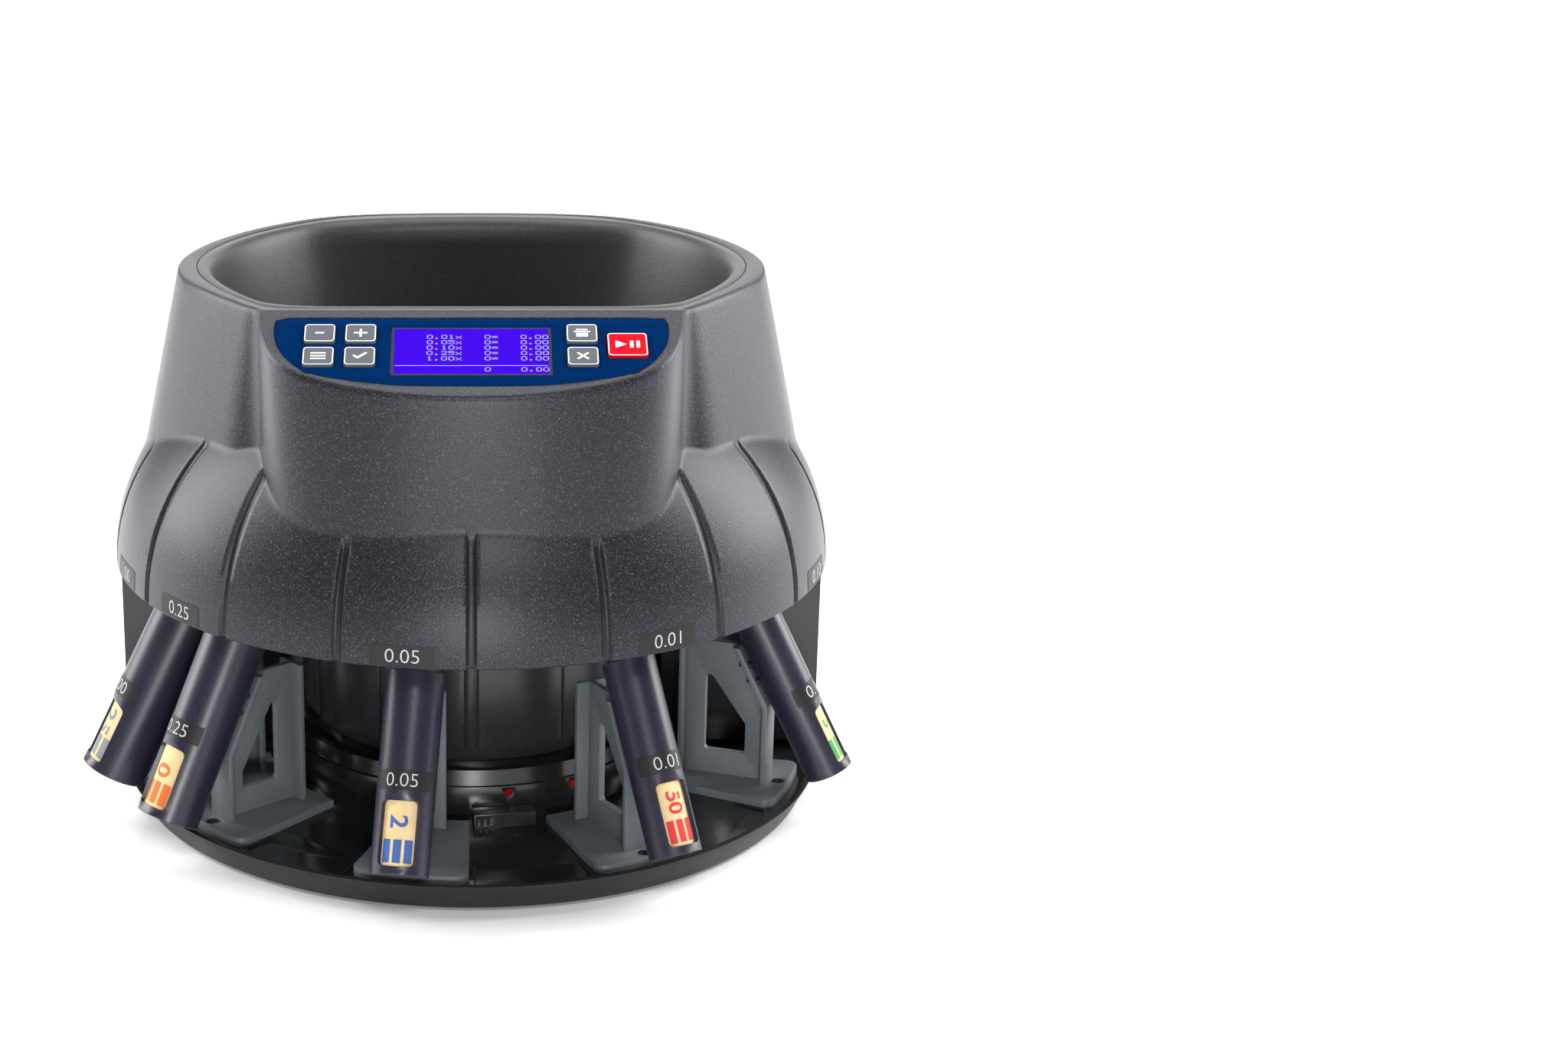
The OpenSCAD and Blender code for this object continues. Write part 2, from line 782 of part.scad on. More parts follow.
module coin_tube(i) {
  r = tube_r(i);
  window_w = 2 * r * window_share;
  color(tube_smoke) difference() {
    union() {
      at_tube(i) cylinder(h = tube_len, r = r);
      tube_pegs(i, 0);
    }
    at_tube(i) {
      translate([0, 0, tube_floor]) cylinder(h = far / 2, r = r - tube_wall);
      translate([-window_w / 2, -r - cut, window_z]) cube([window_w, r + cut, window_l]);
    }
  }
}

module tube_dollar() coin_tube(0);

module tube_quarter() coin_tube(1);

module tube_nickel() coin_tube(2);

module tube_penny() coin_tube(3);

module tube_dime() coin_tube(4);

wrapper_gap = 0.25;
wrapper_spare = 6;

module paper_wrapper(i) {
  r = coin_d[i] / 2 + coin_gap - wrapper_gap;
  length = roll_len[i] + wrapper_spare;
  color(kraft) at_tube(i) translate([0, 0, tube_floor]) difference() {
    cylinder(h = length, r = r);
    translate([0, 0, -cut]) cylinder(h = length + 2 * cut, r = r - paper_t);
  }
}

module wrapper_dollar() paper_wrapper(0);

module wrapper_quarter() paper_wrapper(1);

module wrapper_nickel() paper_wrapper(2);

module wrapper_penny() paper_wrapper(3);

module wrapper_dime() paper_wrapper(4);

plate_z = floor_z + plate_t;
plate_corner = 6;
front_way = -90;
plate_gap_angle = 0.4;
plate_half = seg / 2 - plate_gap_angle;
open_share = 0.275;
open_frame = open_share * (bracket_out_r - bracket_back_r);
open_drop = 18;
open_tip = 3;
bracket_hole_r = 2;
head_r = 3.2;
head_sink = 2.4;
head_h = 1.8;
cross_l = 4;
cross_w = 0.9;

// A plate that stands in the upright plane of one segment, drawn as radius and height
module upright(width) rotate([90, 0, -90]) translate([0, 0, -width / 2]) linear_extrude(width) children();

module plate_plan() {
  outer_mid = plate_out_r - plate_corner;
  outer_half = plate_half - asin(plate_corner / outer_mid);
  right = front_way + outer_half;
  left = front_way - outer_half;
  polygon(concat(
    arc_points(0, 0, plate_in_r, front_way - plate_half, front_way + plate_half, 6),
    arc_points(outer_mid * cos(right), outer_mid * sin(right), plate_corner, right + 90, right, 6),
    arc_points(0, 0, plate_out_r, right, left, 12),
    arc_points(outer_mid * cos(left), outer_mid * sin(left), plate_corner, left, left - 90, 6)));
}

module tube_bracket(i) {
  top_r = back_r(i, bracket_top_z);
  knee_z = tube_foot_z + (tube_foot_r - (tube_r(i) + move_gap) / cos(tube_lean) - bracket_out_r) / lean_k;
  skin = flange_t / cos(tube_lean);
  open_low_z = plate_z + open_frame;
  open_in_r = bracket_back_r + open_frame;
  open_out_r = bracket_out_r - open_frame;
  open_top_z = min(bracket_top_z - open_drop, knee_z + (open_out_r - open_in_r) / lean_k - open_drop);
  open_knee_z = knee_z - open_frame;
  color(bracket_grey) difference() {
    union() {
      at_segment(i) {
        upright(web_t) difference() {
          polygon([[bracket_back_r, floor_z], [bracket_out_r, floor_z], [bracket_out_r, knee_z],
                   [top_r, bracket_top_z], [bracket_back_r, bracket_top_z]]);
          polygon([[open_in_r, open_low_z], [open_out_r, open_low_z], [open_out_r, open_knee_z],
                   [open_in_r + open_tip, open_top_z], [open_in_r, open_top_z]]);
        }
        upright(flange_w) polygon([[bracket_out_r, knee_z], [top_r, bracket_top_z],
          [top_r - skin, bracket_top_z], [bracket_out_r - flange_t, knee_z - (skin - flange_t) / lean_k],
          [bracket_out_r - flange_t, floor_z], [bracket_out_r, floor_z]]);
        upright(flange_w) translate([bracket_back_r, floor_z]) square([flange_t, bracket_top_z - floor_z]);
        translate([0, 0, floor_z]) linear_extrude(plate_t) plate_plan();
      }
    }
    tube_pegs(i, fit_gap);
    at_segment(i) translate([0, -screw_r, 0]) {
      cylinder(h = far, r = bracket_hole_r, $fn = 32);
      translate([0, 0, plate_z - head_sink]) cylinder(h = far, r = head_r + fit_gap, $fn = 32);
    }
  }
}

module bracket_dollar() tube_bracket(0);

module bracket_quarter() tube_bracket(1);

module bracket_nickel() tube_bracket(2);

module bracket_penny() tube_bracket(3);

module bracket_dime() tube_bracket(4);

module bracket_screws() {
  color([0.2, 0.2, 0.21])
    for (i = [0:4])
      at_segment(i) translate([0, -screw_r, 0]) difference() {
        union() {
          translate([0, 0, plate_z - head_sink]) cylinder(h = head_h, r = head_r, $fn = 32);
          translate([0, 0, floor_z - floor_t])
            cylinder(h = plate_z - head_sink - floor_z + floor_t + cut, r = thread_r - thread_gap, $fn = 24);
        }
        translate([0, 0, plate_z - head_sink + head_h]) {
          cube([cross_l, cross_w, cross_w], center = true);
          cube([cross_w, cross_l, cross_w], center = true);
        }
      }
}

// Sorting deck under the hopper, with a hole on the line of each tube
chute_gap = 2.5;
rail_step = 24;
rail_r = deck_r - rail_step;
rail_t = 3;
rail_h = 8;
bearing_r = 11;
bearing_h = 7;
boss_wall = 4;
deck_room = 2;
deck_back_y = back_y - wall - lip_t - deck_room;
shaft_room = 1;

module on_tube_line(i, low_z, high_z, r) {
  intersection() {
    at_tube(i) translate([0, 0, tube_len / 2]) cylinder(h = tube_len * 1.5, r = r);
    translate([-far / 2, -far / 2, low_z]) cube([far, far, high_z - low_z]);
  }
}

module sorting_deck() {
  color([0.62, 0.63, 0.65]) difference() {
    union() {
      intersection() {
        translate([0, 0, deck_z]) cylinder(h = deck_t, r = deck_r, $fn = 180);
        before_back(deck_back_y);
      }
      translate([0, 0, deck_z - bearing_h]) cylinder(h = bearing_h + cut, r = bearing_r + boss_wall);
    }
    for (i = [0:4])
      on_tube_line(i, deck_z - cut, deck_top_z + cut, coin_d[i] / 2 + coin_gap);
    translate([0, 0, deck_z - bearing_h - cut]) cylinder(h = bearing_h + cut, r = bearing_r);
    cylinder(h = far, r = shaft_r + shaft_room);
  }
}

module sorting_rail() {
  color(steel) translate([0, 0, deck_top_z]) difference() {
    intersection() {
      cylinder(h = rail_h, r = rail_r + rail_t, $fn = 180);
      before_back(deck_back_y);
    }
    translate([0, 0, -cut]) cylinder(h = rail_h + 2 * cut, r = rail_r, $fn = 180);
  }
}

module coin_chutes() {
  color([0.1, 0.1, 0.11])
    for (i = [0:4])
      difference() {
        on_tube_line(i, mouth_high_z(i) + chute_gap, deck_z, tube_r(i));
        on_tube_line(i, mouth_high_z(i), deck_z + cut, coin_d[i] / 2 + coin_gap);
      }
}

sensor_size = [14, 5, 6];
sensor_gap = 1;

module coin_sensors() {
  color([0.15, 0.15, 0.17])
    for (i = [0:4])
      at_segment(i) translate([0, -axis_r(deck_z) + (tube_r(i) + sensor_gap) / cos(tube_lean), 0])
        translate([-sensor_size[0] / 2, 0, deck_z - sensor_size[2]]) cube(sensor_size);
}

// Drive: motor and pinion turn the gear, shaft, feed disc and paddles
ring_edge = 6;
ring_w = 16;
paddle_w = 9;
paddle_tip_gap = 1.7;
hub_r = 18;
hub_h = 10;
hub_flare = 12;
nut_r = 9;
nut_h = 6;
thread_l = 4;
gear_hub_h = 6;
gear_mid = gear_m * (gear_teeth + pinion_teeth) / 2;
motor_r = drum_r - wall - gear_mid - motor_room;
plate_drop = 8;
plate_motor_z = gear_z - plate_drop;
motor_plate_t = 3;
shaft_low_z = plate_motor_z - bearing_h + motor_plate_t;
shaft_high_z = feed_z + feed_t + hub_h + thread_l;

module spur_gear(teeth, width, bore_r) {
  pitch_r = gear_m * teeth / 2;
  root_r = pitch_r - 1.25 * gear_m;
  tip_r = pitch_r + 0.9 * gear_m;
  step = 360 / teeth;
  root_half = 0.33 * step;
  pitch_half = 0.225 * step;
  tip_half = 0.1 * step;
  difference() {
    linear_extrude(width)
      polygon([for (k = [0:teeth - 1]) each [
        [root_r * sin(k * step - root_half), root_r * cos(k * step - root_half)],
        [pitch_r * sin(k * step - pitch_half), pitch_r * cos(k * step - pitch_half)],
        [tip_r * sin(k * step - tip_half), tip_r * cos(k * step - tip_half)],
        [tip_r * sin(k * step + tip_half), tip_r * cos(k * step + tip_half)],
        [pitch_r * sin(k * step + pitch_half), pitch_r * cos(k * step + pitch_half)],
        [root_r * sin(k * step + root_half), root_r * cos(k * step + root_half)]]]);
    translate([0, 0, -cut]) cylinder(h = width + 2 * cut, r = bore_r);
  }
}

module feed_disc() {
  color([0.3, 0.3, 0.31]) translate([0, 0, feed_z]) difference() {
    union() {
      cylinder(h = feed_t, r = feed_r, $fn = 180);
      cylinder(h = feed_t + hub_h, r1 = hub_r + hub_flare, r2 = hub_r);
    }
    translate([0, 0, -cut]) cylinder(h = far, r = shaft_r);
  }
}

module paddle_ring() {
  ring_r = feed_r - ring_edge;
  color([0.75, 0.2, 0.1]) translate([0, 0, paddle_z]) linear_extrude(paddle_h) difference() {
    union() {
      circle(r = ring_r, $fn = 120);
      for (i = [0:paddle_count - 1])
        rotate(i * 360 / paddle_count) translate([-paddle_w / 2, ring_r - ring_w / 2])
          square([paddle_w, rail_r - paddle_tip_gap - ring_r + ring_w / 2]);
    }
    circle(r = ring_r - ring_w, $fn = 120);
  }
}

module main_shaft() {
  color(steel) translate([0, 0, shaft_low_z])
    cylinder(h = shaft_high_z - shaft_low_z, r = shaft_r);
}

module drive_gear() {
  color([0.85, 0.83, 0.76]) translate([0, 0, gear_z]) {
    spur_gear(gear_teeth, gear_w, shaft_r);
    translate([0, 0, gear_w]) difference() {
      cylinder(h = gear_hub_h, r = hub_r);
      translate([0, 0, -cut]) cylinder(h = far, r = shaft_r);
    }
  }
}

module hub_nut() {
  color(steel) translate([0, 0, feed_z + feed_t + hub_h]) difference() {
    cylinder(h = nut_h, r = nut_r, $fn = 6);
    translate([0, 0, -cut]) cylinder(h = thread_l + cut, r = shaft_r);
  }
}

module shaft_bearing(z) {
  translate([0, 0, z]) difference() {
    cylinder(h = bearing_h, r = bearing_r);
    translate([0, 0, -cut]) cylinder(h = bearing_h + 2 * cut, r = shaft_r + run_gap);
  }
}

module shaft_bearings() {
  color([0.78, 0.62, 0.3]) {
    shaft_bearing(deck_z - bearing_h);
    shaft_bearing(shaft_low_z);
  }
}

motor_shaft_r = 3;
motor_shaft_l = 8;
motor_hole_gap = 2;
motor_low_z = drum_z + 2 * wall;

module motor_plate() {
  color([0.5, 0.51, 0.53]) difference() {
    union() {
      translate([0, 0, plate_motor_z]) cylinder(h = motor_plate_t, r = drum_r - wall);
      translate([0, 0, shaft_low_z]) cylinder(h = bearing_h, r = bearing_r + boss_wall);
    }
    translate([0, 0, shaft_low_z - cut]) cylinder(h = far, r = bearing_r);
    translate([0, gear_mid, 0]) cylinder(h = far, r = motor_shaft_r + motor_hole_gap);
  }
}

module motor_body() {
  color([0.6, 0.61, 0.62]) translate([0, gear_mid, 0]) difference() {
    translate([0, 0, motor_low_z]) cylinder(h = plate_motor_z - motor_low_z, r = motor_r);
    translate([0, 0, plate_motor_z - motor_shaft_l - cut]) cylinder(h = far, r = motor_shaft_r + run_gap);
  }
}

// The pinion stands half a tooth round, so that a tooth sits in the gear's gap
module motor_pinion() {
  color([0.8, 0.66, 0.35]) translate([0, gear_mid, 0]) {
    translate([0, 0, gear_z]) rotate([0, 0, 180 / pinion_teeth]) rotate([0, 0, 180])
      spur_gear(pinion_teeth, gear_w, motor_shaft_r - cut);
    translate([0, 0, plate_motor_z - motor_shaft_l])
      cylinder(h = gear_z + gear_w - plate_motor_z + motor_shaft_l, r = motor_shaft_r);
  }
}

// Electronics on the tray behind the column, and the sockets on the back
main_board_size = [100, 1.6, 46];
main_board_x = -20;
board_share = 0.21;
board_lift = 4;
board_foot = [6, 4, 8];
board_foot_x = [6, 80];
supply_size = [44, 34, 60];
supply_room = 4;
supply_angle = 40;

module main_board() {
  board_y = plinth_r + board_share * (back_y - plinth_r);
  color(board_green) translate([main_board_x, board_y, floor_z]) {
    translate([0, 0, board_lift]) cube(main_board_size);
    for (x = board_foot_x)
      translate([x, (main_board_size[1] - board_foot[1]) / 2, 0]) cube(board_foot);
  }
}

module power_supply() {
  reach = plinth_r + supply_room;
  color([0.68, 0.69, 0.7])
    translate([-reach * cos(supply_angle) - supply_size[0], reach * sin(supply_angle), floor_z])
      cube(supply_size);
}

inlet_w = 28;
inlet_h = 20;
inlet_depth = 20;
socket_w = 23;
socket_h = 15;
socket_depth = 15;
flange_out = 2;
bezel_edge = 2.5;
inlet_pins = [[-7, -1], [0, 3], [7, -1]];
pin_w = 2;
pin_h = 4;
pin_l = 10;

module back_frame(x) translate([x, back_y, panel_row_z]) children();

// A body in the back wall, with a thin bezel outside
module back_body(w, h, depth) {
  translate([-w / 2, -depth, -h / 2]) cube([w, depth + flange_out, h]);
  translate([-w / 2 - bezel_edge, 0, -h / 2 - bezel_edge])
    cube([w + 2 * bezel_edge, flange_out, h + 2 * bezel_edge]);
}

module power_inlet() {
  color([0.06, 0.06, 0.06]) back_frame(inlet_x) {
    difference() {
      back_body(inlet_w, inlet_h, inlet_depth);
      translate([-socket_w / 2, flange_out - socket_depth, -socket_h / 2]) cube([socket_w, far, socket_h]);
    }
    for (p = inlet_pins)
      translate([p[0] - pin_w / 2, flange_out - socket_depth - cut, p[1] - pin_h / 2])
        cube([pin_w, pin_l, pin_h]);
  }
}

switch_w = 14;
switch_h = 20;
switch_depth = 14;
rocker_r = 7.2;
rocker_w = 9;
rocker_room = 1.6;
rocker_well = 10;
dish_r = 12;
dish_depth = 5.7;
trunnion_r = 1.2;
trunnion_l = 1.6;

module switch_frame() {
  color([0.06, 0.06, 0.06]) back_frame(switch_x) difference() {
    back_body(switch_w, switch_h, switch_depth);
    translate([-rocker_w / 2 - move_gap, -rocker_well, -rocker_r - rocker_room])
      cube([rocker_w + 2 * move_gap, far, 2 * (rocker_r + rocker_room)]);
    rotate([0, 90, 0])
      cylinder(h = rocker_w + 2 * (trunnion_l + move_gap), r = trunnion_r + run_gap, center = true,
               $fn = 32);
  }
}

module power_rocker() {
  color([0.75, 0.05, 0.05]) back_frame(switch_x) rotate([0, 90, 0]) {
    difference() {
      cylinder(h = rocker_w, r = rocker_r, center = true);
      translate([0, rocker_r + dish_r - dish_depth, 0])
        cylinder(h = rocker_w + 2 * cut, r = dish_r, center = true);
    }
    cylinder(h = rocker_w + 2 * trunnion_l, r = trunnion_r, center = true, $fn = 32);
  }
}

port_w = 18;
port_h = 15;
port_depth = 16;
port_hole = [12.5, 9];
port_hole_depth = 12;

module printer_port() {
  color([0.1, 0.1, 0.1]) back_frame(port_x) difference() {
    back_body(port_w, port_h, port_depth);
    translate([-port_hole[0] / 2, flange_out - port_hole_depth, -port_hole[1] / 2])
      cube([port_hole[0], far, port_hole[1]]);
  }
}

base_tray();
rubber_feet();
column_base();
column_drum();
column_clip();
indicator_lamps();
rear_housing();
housing_screws();
bracket_dollar();
bracket_quarter();
bracket_nickel();
bracket_penny();
bracket_dime();
bracket_screws();
tube_dollar();
tube_quarter();
tube_nickel();
tube_penny();
tube_dime();
wrapper_dollar();
wrapper_quarter();
wrapper_nickel();
wrapper_penny();
wrapper_dime();
top_housing();
hopper_bowl();
control_panel();
display_window();
display_module();
key_minus();
key_plus();
key_mode();
key_set();
key_print();
key_clear();
key_start();
control_board();
sorting_deck();
sorting_rail();
coin_chutes();
coin_sensors();
feed_disc();
paddle_ring();
main_shaft();
drive_gear();
hub_nut();
shaft_bearings();
motor_plate();
motor_body();
motor_pinion();
main_board();
power_supply();
power_inlet();
switch_frame();
power_rocker();
printer_port();
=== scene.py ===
import json
import math

import bmesh
import bpy
import numpy as np
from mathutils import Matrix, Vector, geometry

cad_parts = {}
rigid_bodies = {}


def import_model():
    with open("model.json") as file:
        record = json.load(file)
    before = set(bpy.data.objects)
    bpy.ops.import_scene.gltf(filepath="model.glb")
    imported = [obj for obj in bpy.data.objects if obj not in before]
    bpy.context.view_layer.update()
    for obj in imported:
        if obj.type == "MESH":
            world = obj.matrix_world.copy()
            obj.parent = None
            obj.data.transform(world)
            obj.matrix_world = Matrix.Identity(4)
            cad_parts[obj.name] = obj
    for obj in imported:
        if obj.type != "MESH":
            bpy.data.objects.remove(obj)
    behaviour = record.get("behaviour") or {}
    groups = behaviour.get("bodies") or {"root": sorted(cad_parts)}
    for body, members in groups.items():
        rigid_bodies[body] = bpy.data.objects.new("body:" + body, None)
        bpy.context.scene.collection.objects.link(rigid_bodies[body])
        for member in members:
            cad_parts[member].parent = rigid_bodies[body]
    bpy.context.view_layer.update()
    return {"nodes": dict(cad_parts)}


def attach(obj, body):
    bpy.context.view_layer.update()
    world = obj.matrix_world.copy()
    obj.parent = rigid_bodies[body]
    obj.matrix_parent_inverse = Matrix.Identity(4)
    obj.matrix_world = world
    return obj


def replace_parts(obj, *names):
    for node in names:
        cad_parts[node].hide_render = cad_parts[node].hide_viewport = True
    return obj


for old in list(bpy.data.objects):
    bpy.data.objects.remove(old)

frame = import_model()
nodes = frame["nodes"]
mm = 0.001
weldGap = 2e-6  # metres
coinNames = ["dollar", "quarter", "nickel", "penny", "dime"]
coinWidths = [26.5, 24.3, 21.2, 19.1, 17.9]
coinAngles = [-70, -50, -10, 30, 70]
print("frame:", len(nodes), "nodes")


# Small tools for meshes, all in millimetres
def newObject(name, data):
    obj = bpy.data.objects.new(name, data)
    bpy.context.scene.collection.objects.link(obj)
    return obj


def addObject(name, mesh, body):
    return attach(newObject(name, mesh), body)


def finishMesh(mesh, material, sharp):
    mesh.materials.clear()
    mesh.materials.append(material)
    mesh.shade_smooth()
    mesh.set_sharp_from_angle(angle=math.radians(sharp))
    return mesh


def makePiece(name, points, faces, material, body, sharp=35, weld=False):
    mesh = bpy.data.meshes.new(name)
    mesh.from_pydata((np.asarray(points, float) * mm).tolist(), [], [list(f) for f in faces])
    if weld:
        work = bmesh.new()
        work.from_mesh(mesh)
        bmesh.ops.remove_doubles(work, verts=work.verts, dist=weldGap)
        work.to_mesh(mesh)
        work.free()
    return addObject(name, finishMesh(mesh, material, sharp), body)


soften = {"flat": 0.6, "hard": 38, "sharp": 32, "segments": 2}  # angles in degrees


def dressNode(name, node, material, body, edge):  # a softened copy that stands for a CAD node
    work = bmesh.new()
    work.from_mesh(nodes[node].data)
    bmesh.ops.remove_doubles(work, verts=work.verts, dist=weldGap)
    bmesh.ops.dissolve_limit(work, angle_limit=math.radians(soften["flat"]), verts=work.verts,
                             edges=work.edges)
    if edge:
        least = math.radians(soften["hard"])
        hard = [e for e in work.edges if len(e.link_faces) == 2 and e.calc_face_angle(0) > least]
        bmesh.ops.bevel(work, geom=hard, offset=edge * mm, segments=soften["segments"], profile=0.5,
                        affect="EDGES", clamp_overlap=True, material=-1)
    mesh = bpy.data.meshes.new(name)
    work.to_mesh(mesh)
    work.free()
    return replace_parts(addObject(name, finishMesh(mesh, material, soften["sharp"]), body), node)


def gridFaces(rows, cols, wrap, start=0):
    last = cols if wrap else cols - 1
    return [(start + j * cols + i, start + j * cols + (i + 1) % cols,
             start + (j + 1) * cols + (i + 1) % cols, start + (j + 1) * cols + i)
            for j in range(rows - 1) for i in range(last)]


def joinParts(parts):
    points, faces = [], []
    for pts, fcs in parts:
        shift = len(points)
        points.extend([tuple(p) for p in pts])
        faces.extend([tuple(i + shift for i in f) for f in fcs])
    return points, faces


def roundRect(w, h, r, cx=0.0, cy=0.0, steps=6):
    out = []
    for sx, sy, a in ((1, 1, 0), (-1, 1, 90), (-1, -1, 180), (1, -1, 270)):
        for i in range(steps + 1):
            t = math.radians(a + 90 * i / steps)
            out.append((cx + sx * (w / 2 - r) + r * math.cos(t), cy + sy * (h / 2 - r) + r * math.sin(t)))
    return out


def shifted(loop, d):  # moves a counter-clockwise loop outwards by d
    p = np.asarray(loop, float)
    before, after = p - np.roll(p, 1, 0), np.roll(p, -1, 0) - p
    before /= np.linalg.norm(before, axis=1)[:, None] + 1e-12
    after /= np.linalg.norm(after, axis=1)[:, None] + 1e-12
    n = np.stack([before[:, 1] + after[:, 1], -before[:, 0] - after[:, 0]], 1)
    n /= np.linalg.norm(n, axis=1)[:, None] + 1e-12
    share = np.clip(n[:, 0] * after[:, 1] - n[:, 1] * after[:, 0], 0.35, 1)
    return p + n * (d / share)[:, None]


def slab(outline, holes, low, high, edge=0.0):  # a plate with rounded upper edges
    points, faces, tops = [], [], []
    for k, loop in enumerate([outline] + list(holes)):
        sign = -1 if k == 0 else 1
        n, start = len(loop), len(points)
        levels = [(0, low), (0, high - edge), (edge * 0.3, high - edge * 0.3), (edge, high)] if edge else [
            (0, low), (0, high)]
        for inset, w in levels:
            points.extend([(p[0], p[1], w) for p in shifted(loop, sign * inset)])
        for j in range(len(levels) - 1):
            for i in range(n):
                a, b = start + j * n + i, start + j * n + (i + 1) % n
                quad = (a, b, b + n, a + n)
                faces.append(quad if k == 0 else quad[::-1])
        tops.append((start + (len(levels) - 1) * n, n))
    order = [i for s, n in tops for i in range(s, s + n)]
    flat = [[Vector(points[i]) for i in range(s, s + n)] for s, n in tops]
    for tri in geometry.tessellate_polygon(flat):
        faces.append(tuple(order[i] for i in tri))
    return points, faces


def fixNormals(obj, weld=None):  # turns faces outwards, after a weld where one is asked for
    work = bmesh.new()
    work.from_mesh(obj.data)
    if weld:
        bmesh.ops.remove_doubles(work, verts=work.verts, dist=weld)
    bmesh.ops.recalc_face_normals(work, faces=work.faces)
    work.to_mesh(obj.data)
    work.free()
    return obj


def plainMesh(holder):
    return bpy.data.meshes.new_from_object(holder.evaluated_get(bpy.context.evaluated_depsgraph_get()))


def writing(text, height, weight=-0.012):  # a flat mesh of plain signs, centred
    curve = bpy.data.curves.new("writing", "FONT")
    curve.body = text
    curve.size = 1.0
    curve.resolution_u = 4
    curve.offset = weight
    holder = newObject("writing", curve)
    mesh = plainMesh(holder)
    pts = np.array([v.co[:2] for v in mesh.vertices])
    faces = [tuple(p.vertices) for p in mesh.polygons]
    bpy.data.objects.remove(holder)
    bpy.data.curves.remove(curve)
    bpy.data.meshes.remove(mesh)
    low, high = pts.min(0), pts.max(0)
    return (pts - (low + high) / 2) * (height / (high[1] - low[1])), faces


def fullTurn(count):
    return np.linspace(0, 2 * math.pi, count, endpoint=False)


def pointsAt(r, t, z):  # reach r from the axis, t round it from the front, and height
    return np.stack(np.broadcast_arrays(r * np.sin(t), -r * np.cos(t), z), 1)


def rayCircle(dx, dy, cx, cy, r):  # how far a ray from the origin goes inside a circle
    along = dx * cx + dy * cy
    room = r ** 2 - (cx * cx + cy * cy - along ** 2)
    return np.where(room > 0, along + np.sqrt(np.maximum(room, 0)), 0.0)


def twoCircles(dx, dy, x, y, r):  # the further of two circles, one on each side
    return np.maximum(rayCircle(dx, dy, x, y, r), rayCircle(dx, dy, -x, y, r))


def curveAt(a, b, c, t):  # on the curve from a to c that leans towards b
    return (1 - t) ** 2 * a + 2 * t * (1 - t) * b + t * t * c


def softMax(a, b, k):
    h = np.maximum(k - np.abs(a - b), 0) / k
    return np.maximum(a, b) + h * h * k / 4


def softMin(a, b, k):
    return -softMax(-a, -b, k)


# Shader groups that several materials share
def newGroup(name, inputs, outputs):
    group = bpy.data.node_groups.new(name, "ShaderNodeTree")
    for label, kind, value in inputs:
        socket = group.interface.new_socket(name=label, in_out="INPUT", socket_type=kind)
        socket.default_value = value
    for label, kind in outputs:
        group.interface.new_socket(name=label, in_out="OUTPUT", socket_type=kind)
    coords = group.nodes.new("ShaderNodeTexCoord").outputs["Object"]
    return group, coords, group.nodes.new("NodeGroupInput"), group.nodes.new("NodeGroupOutput")


def noiseNode(tree, coords, scale, detail, rough=0.5):
    n = tree.nodes.new("ShaderNodeTexNoise")
    n.inputs["Detail"].default_value = detail
    n.inputs["Roughness"].default_value = rough
    if isinstance(scale, (int, float)):
        n.inputs["Scale"].default_value = scale
    else:
        tree.links.new(scale, n.inputs["Scale"])
    tree.links.new(coords, n.inputs["Vector"])
    return n.outputs["Fac"]


def makeGrain():  # moulded grain: fine bumps and a speckle that varies the tint
    group, coords, gin, gout = newGroup(
        "mouldedGrain", [("Scale", "NodeSocketFloat", 900.0), ("Depth", "NodeSocketFloat", 0.2)],
        [("Normal", "NodeSocketVector"), ("Speckle", "NodeSocketFloat"), ("Patch", "NodeSocketFloat")])
    fine = noiseNode(group, coords, gin.outputs["Scale"], 2.5, 0.6)
    bump = group.nodes.new("ShaderNodeBump")
    bump.inputs["Distance"].default_value = 0.0004
    group.links.new(gin.outputs["Depth"], bump.inputs["Strength"])
    group.links.new(fine, bump.inputs["Height"])
    group.links.new(bump.outputs["Normal"], gout.inputs["Normal"])
    group.links.new(fine, gout.inputs["Speckle"])
    group.links.new(noiseNode(group, coords, 14.0, 3.0), gout.inputs["Patch"])
    return group


def makeStreaks():  # drawn or turned streaks along one axis
    group, coords, gin, gout = newGroup(
        "drawnStreaks",
        [("Stretch", "NodeSocketVector", (1.0, 1.0, 0.05)), ("Scale", "NodeSocketFloat", 400.0)],
        [("Streak", "NodeSocketFloat")])
    product = group.nodes.new("ShaderNodeVectorMath")
    product.operation = "MULTIPLY"
    group.links.new(coords, product.inputs[0])
    group.links.new(gin.outputs["Stretch"], product.inputs[1])
    group.links.new(noiseNode(group, product.outputs[0], gin.outputs["Scale"], 3.0), gout.inputs["Streak"])
    return group


def makeFibres():  # paper fibres and mottling
    group, coords, gin, gout = newGroup("paperFibres", [("Scale", "NodeSocketFloat", 1500.0)],
                                        [("Fibre", "NodeSocketFloat"), ("Normal", "NodeSocketVector")])
    wide = noiseNode(group, coords, 260.0, 4.0, 0.65)
    fine = noiseNode(group, coords, gin.outputs["Scale"], 3.0, 0.7)
    mixed = group.nodes.new("ShaderNodeMath")
    mixed.operation = "MULTIPLY_ADD"
    mixed.inputs[1].default_value = 0.5
    group.links.new(fine, mixed.inputs[0])
    group.links.new(wide, mixed.inputs[2])
    bump = group.nodes.new("ShaderNodeBump")
    bump.inputs["Distance"].default_value = 0.0001
    bump.inputs["Strength"].default_value = 0.25
    group.links.new(fine, bump.inputs["Height"])
    group.links.new(mixed.outputs[0], gout.inputs["Fibre"])
    group.links.new(bump.outputs["Normal"], gout.inputs["Normal"])
    return group


grain, streaks, fibres = makeGrain(), makeStreaks(), makeFibres()


def useGroup(tree, group, **values):
    n = tree.nodes.new("ShaderNodeGroup")
    n.node_tree = group
    for label, value in values.items():
        n.inputs[label].default_value = value
    return n


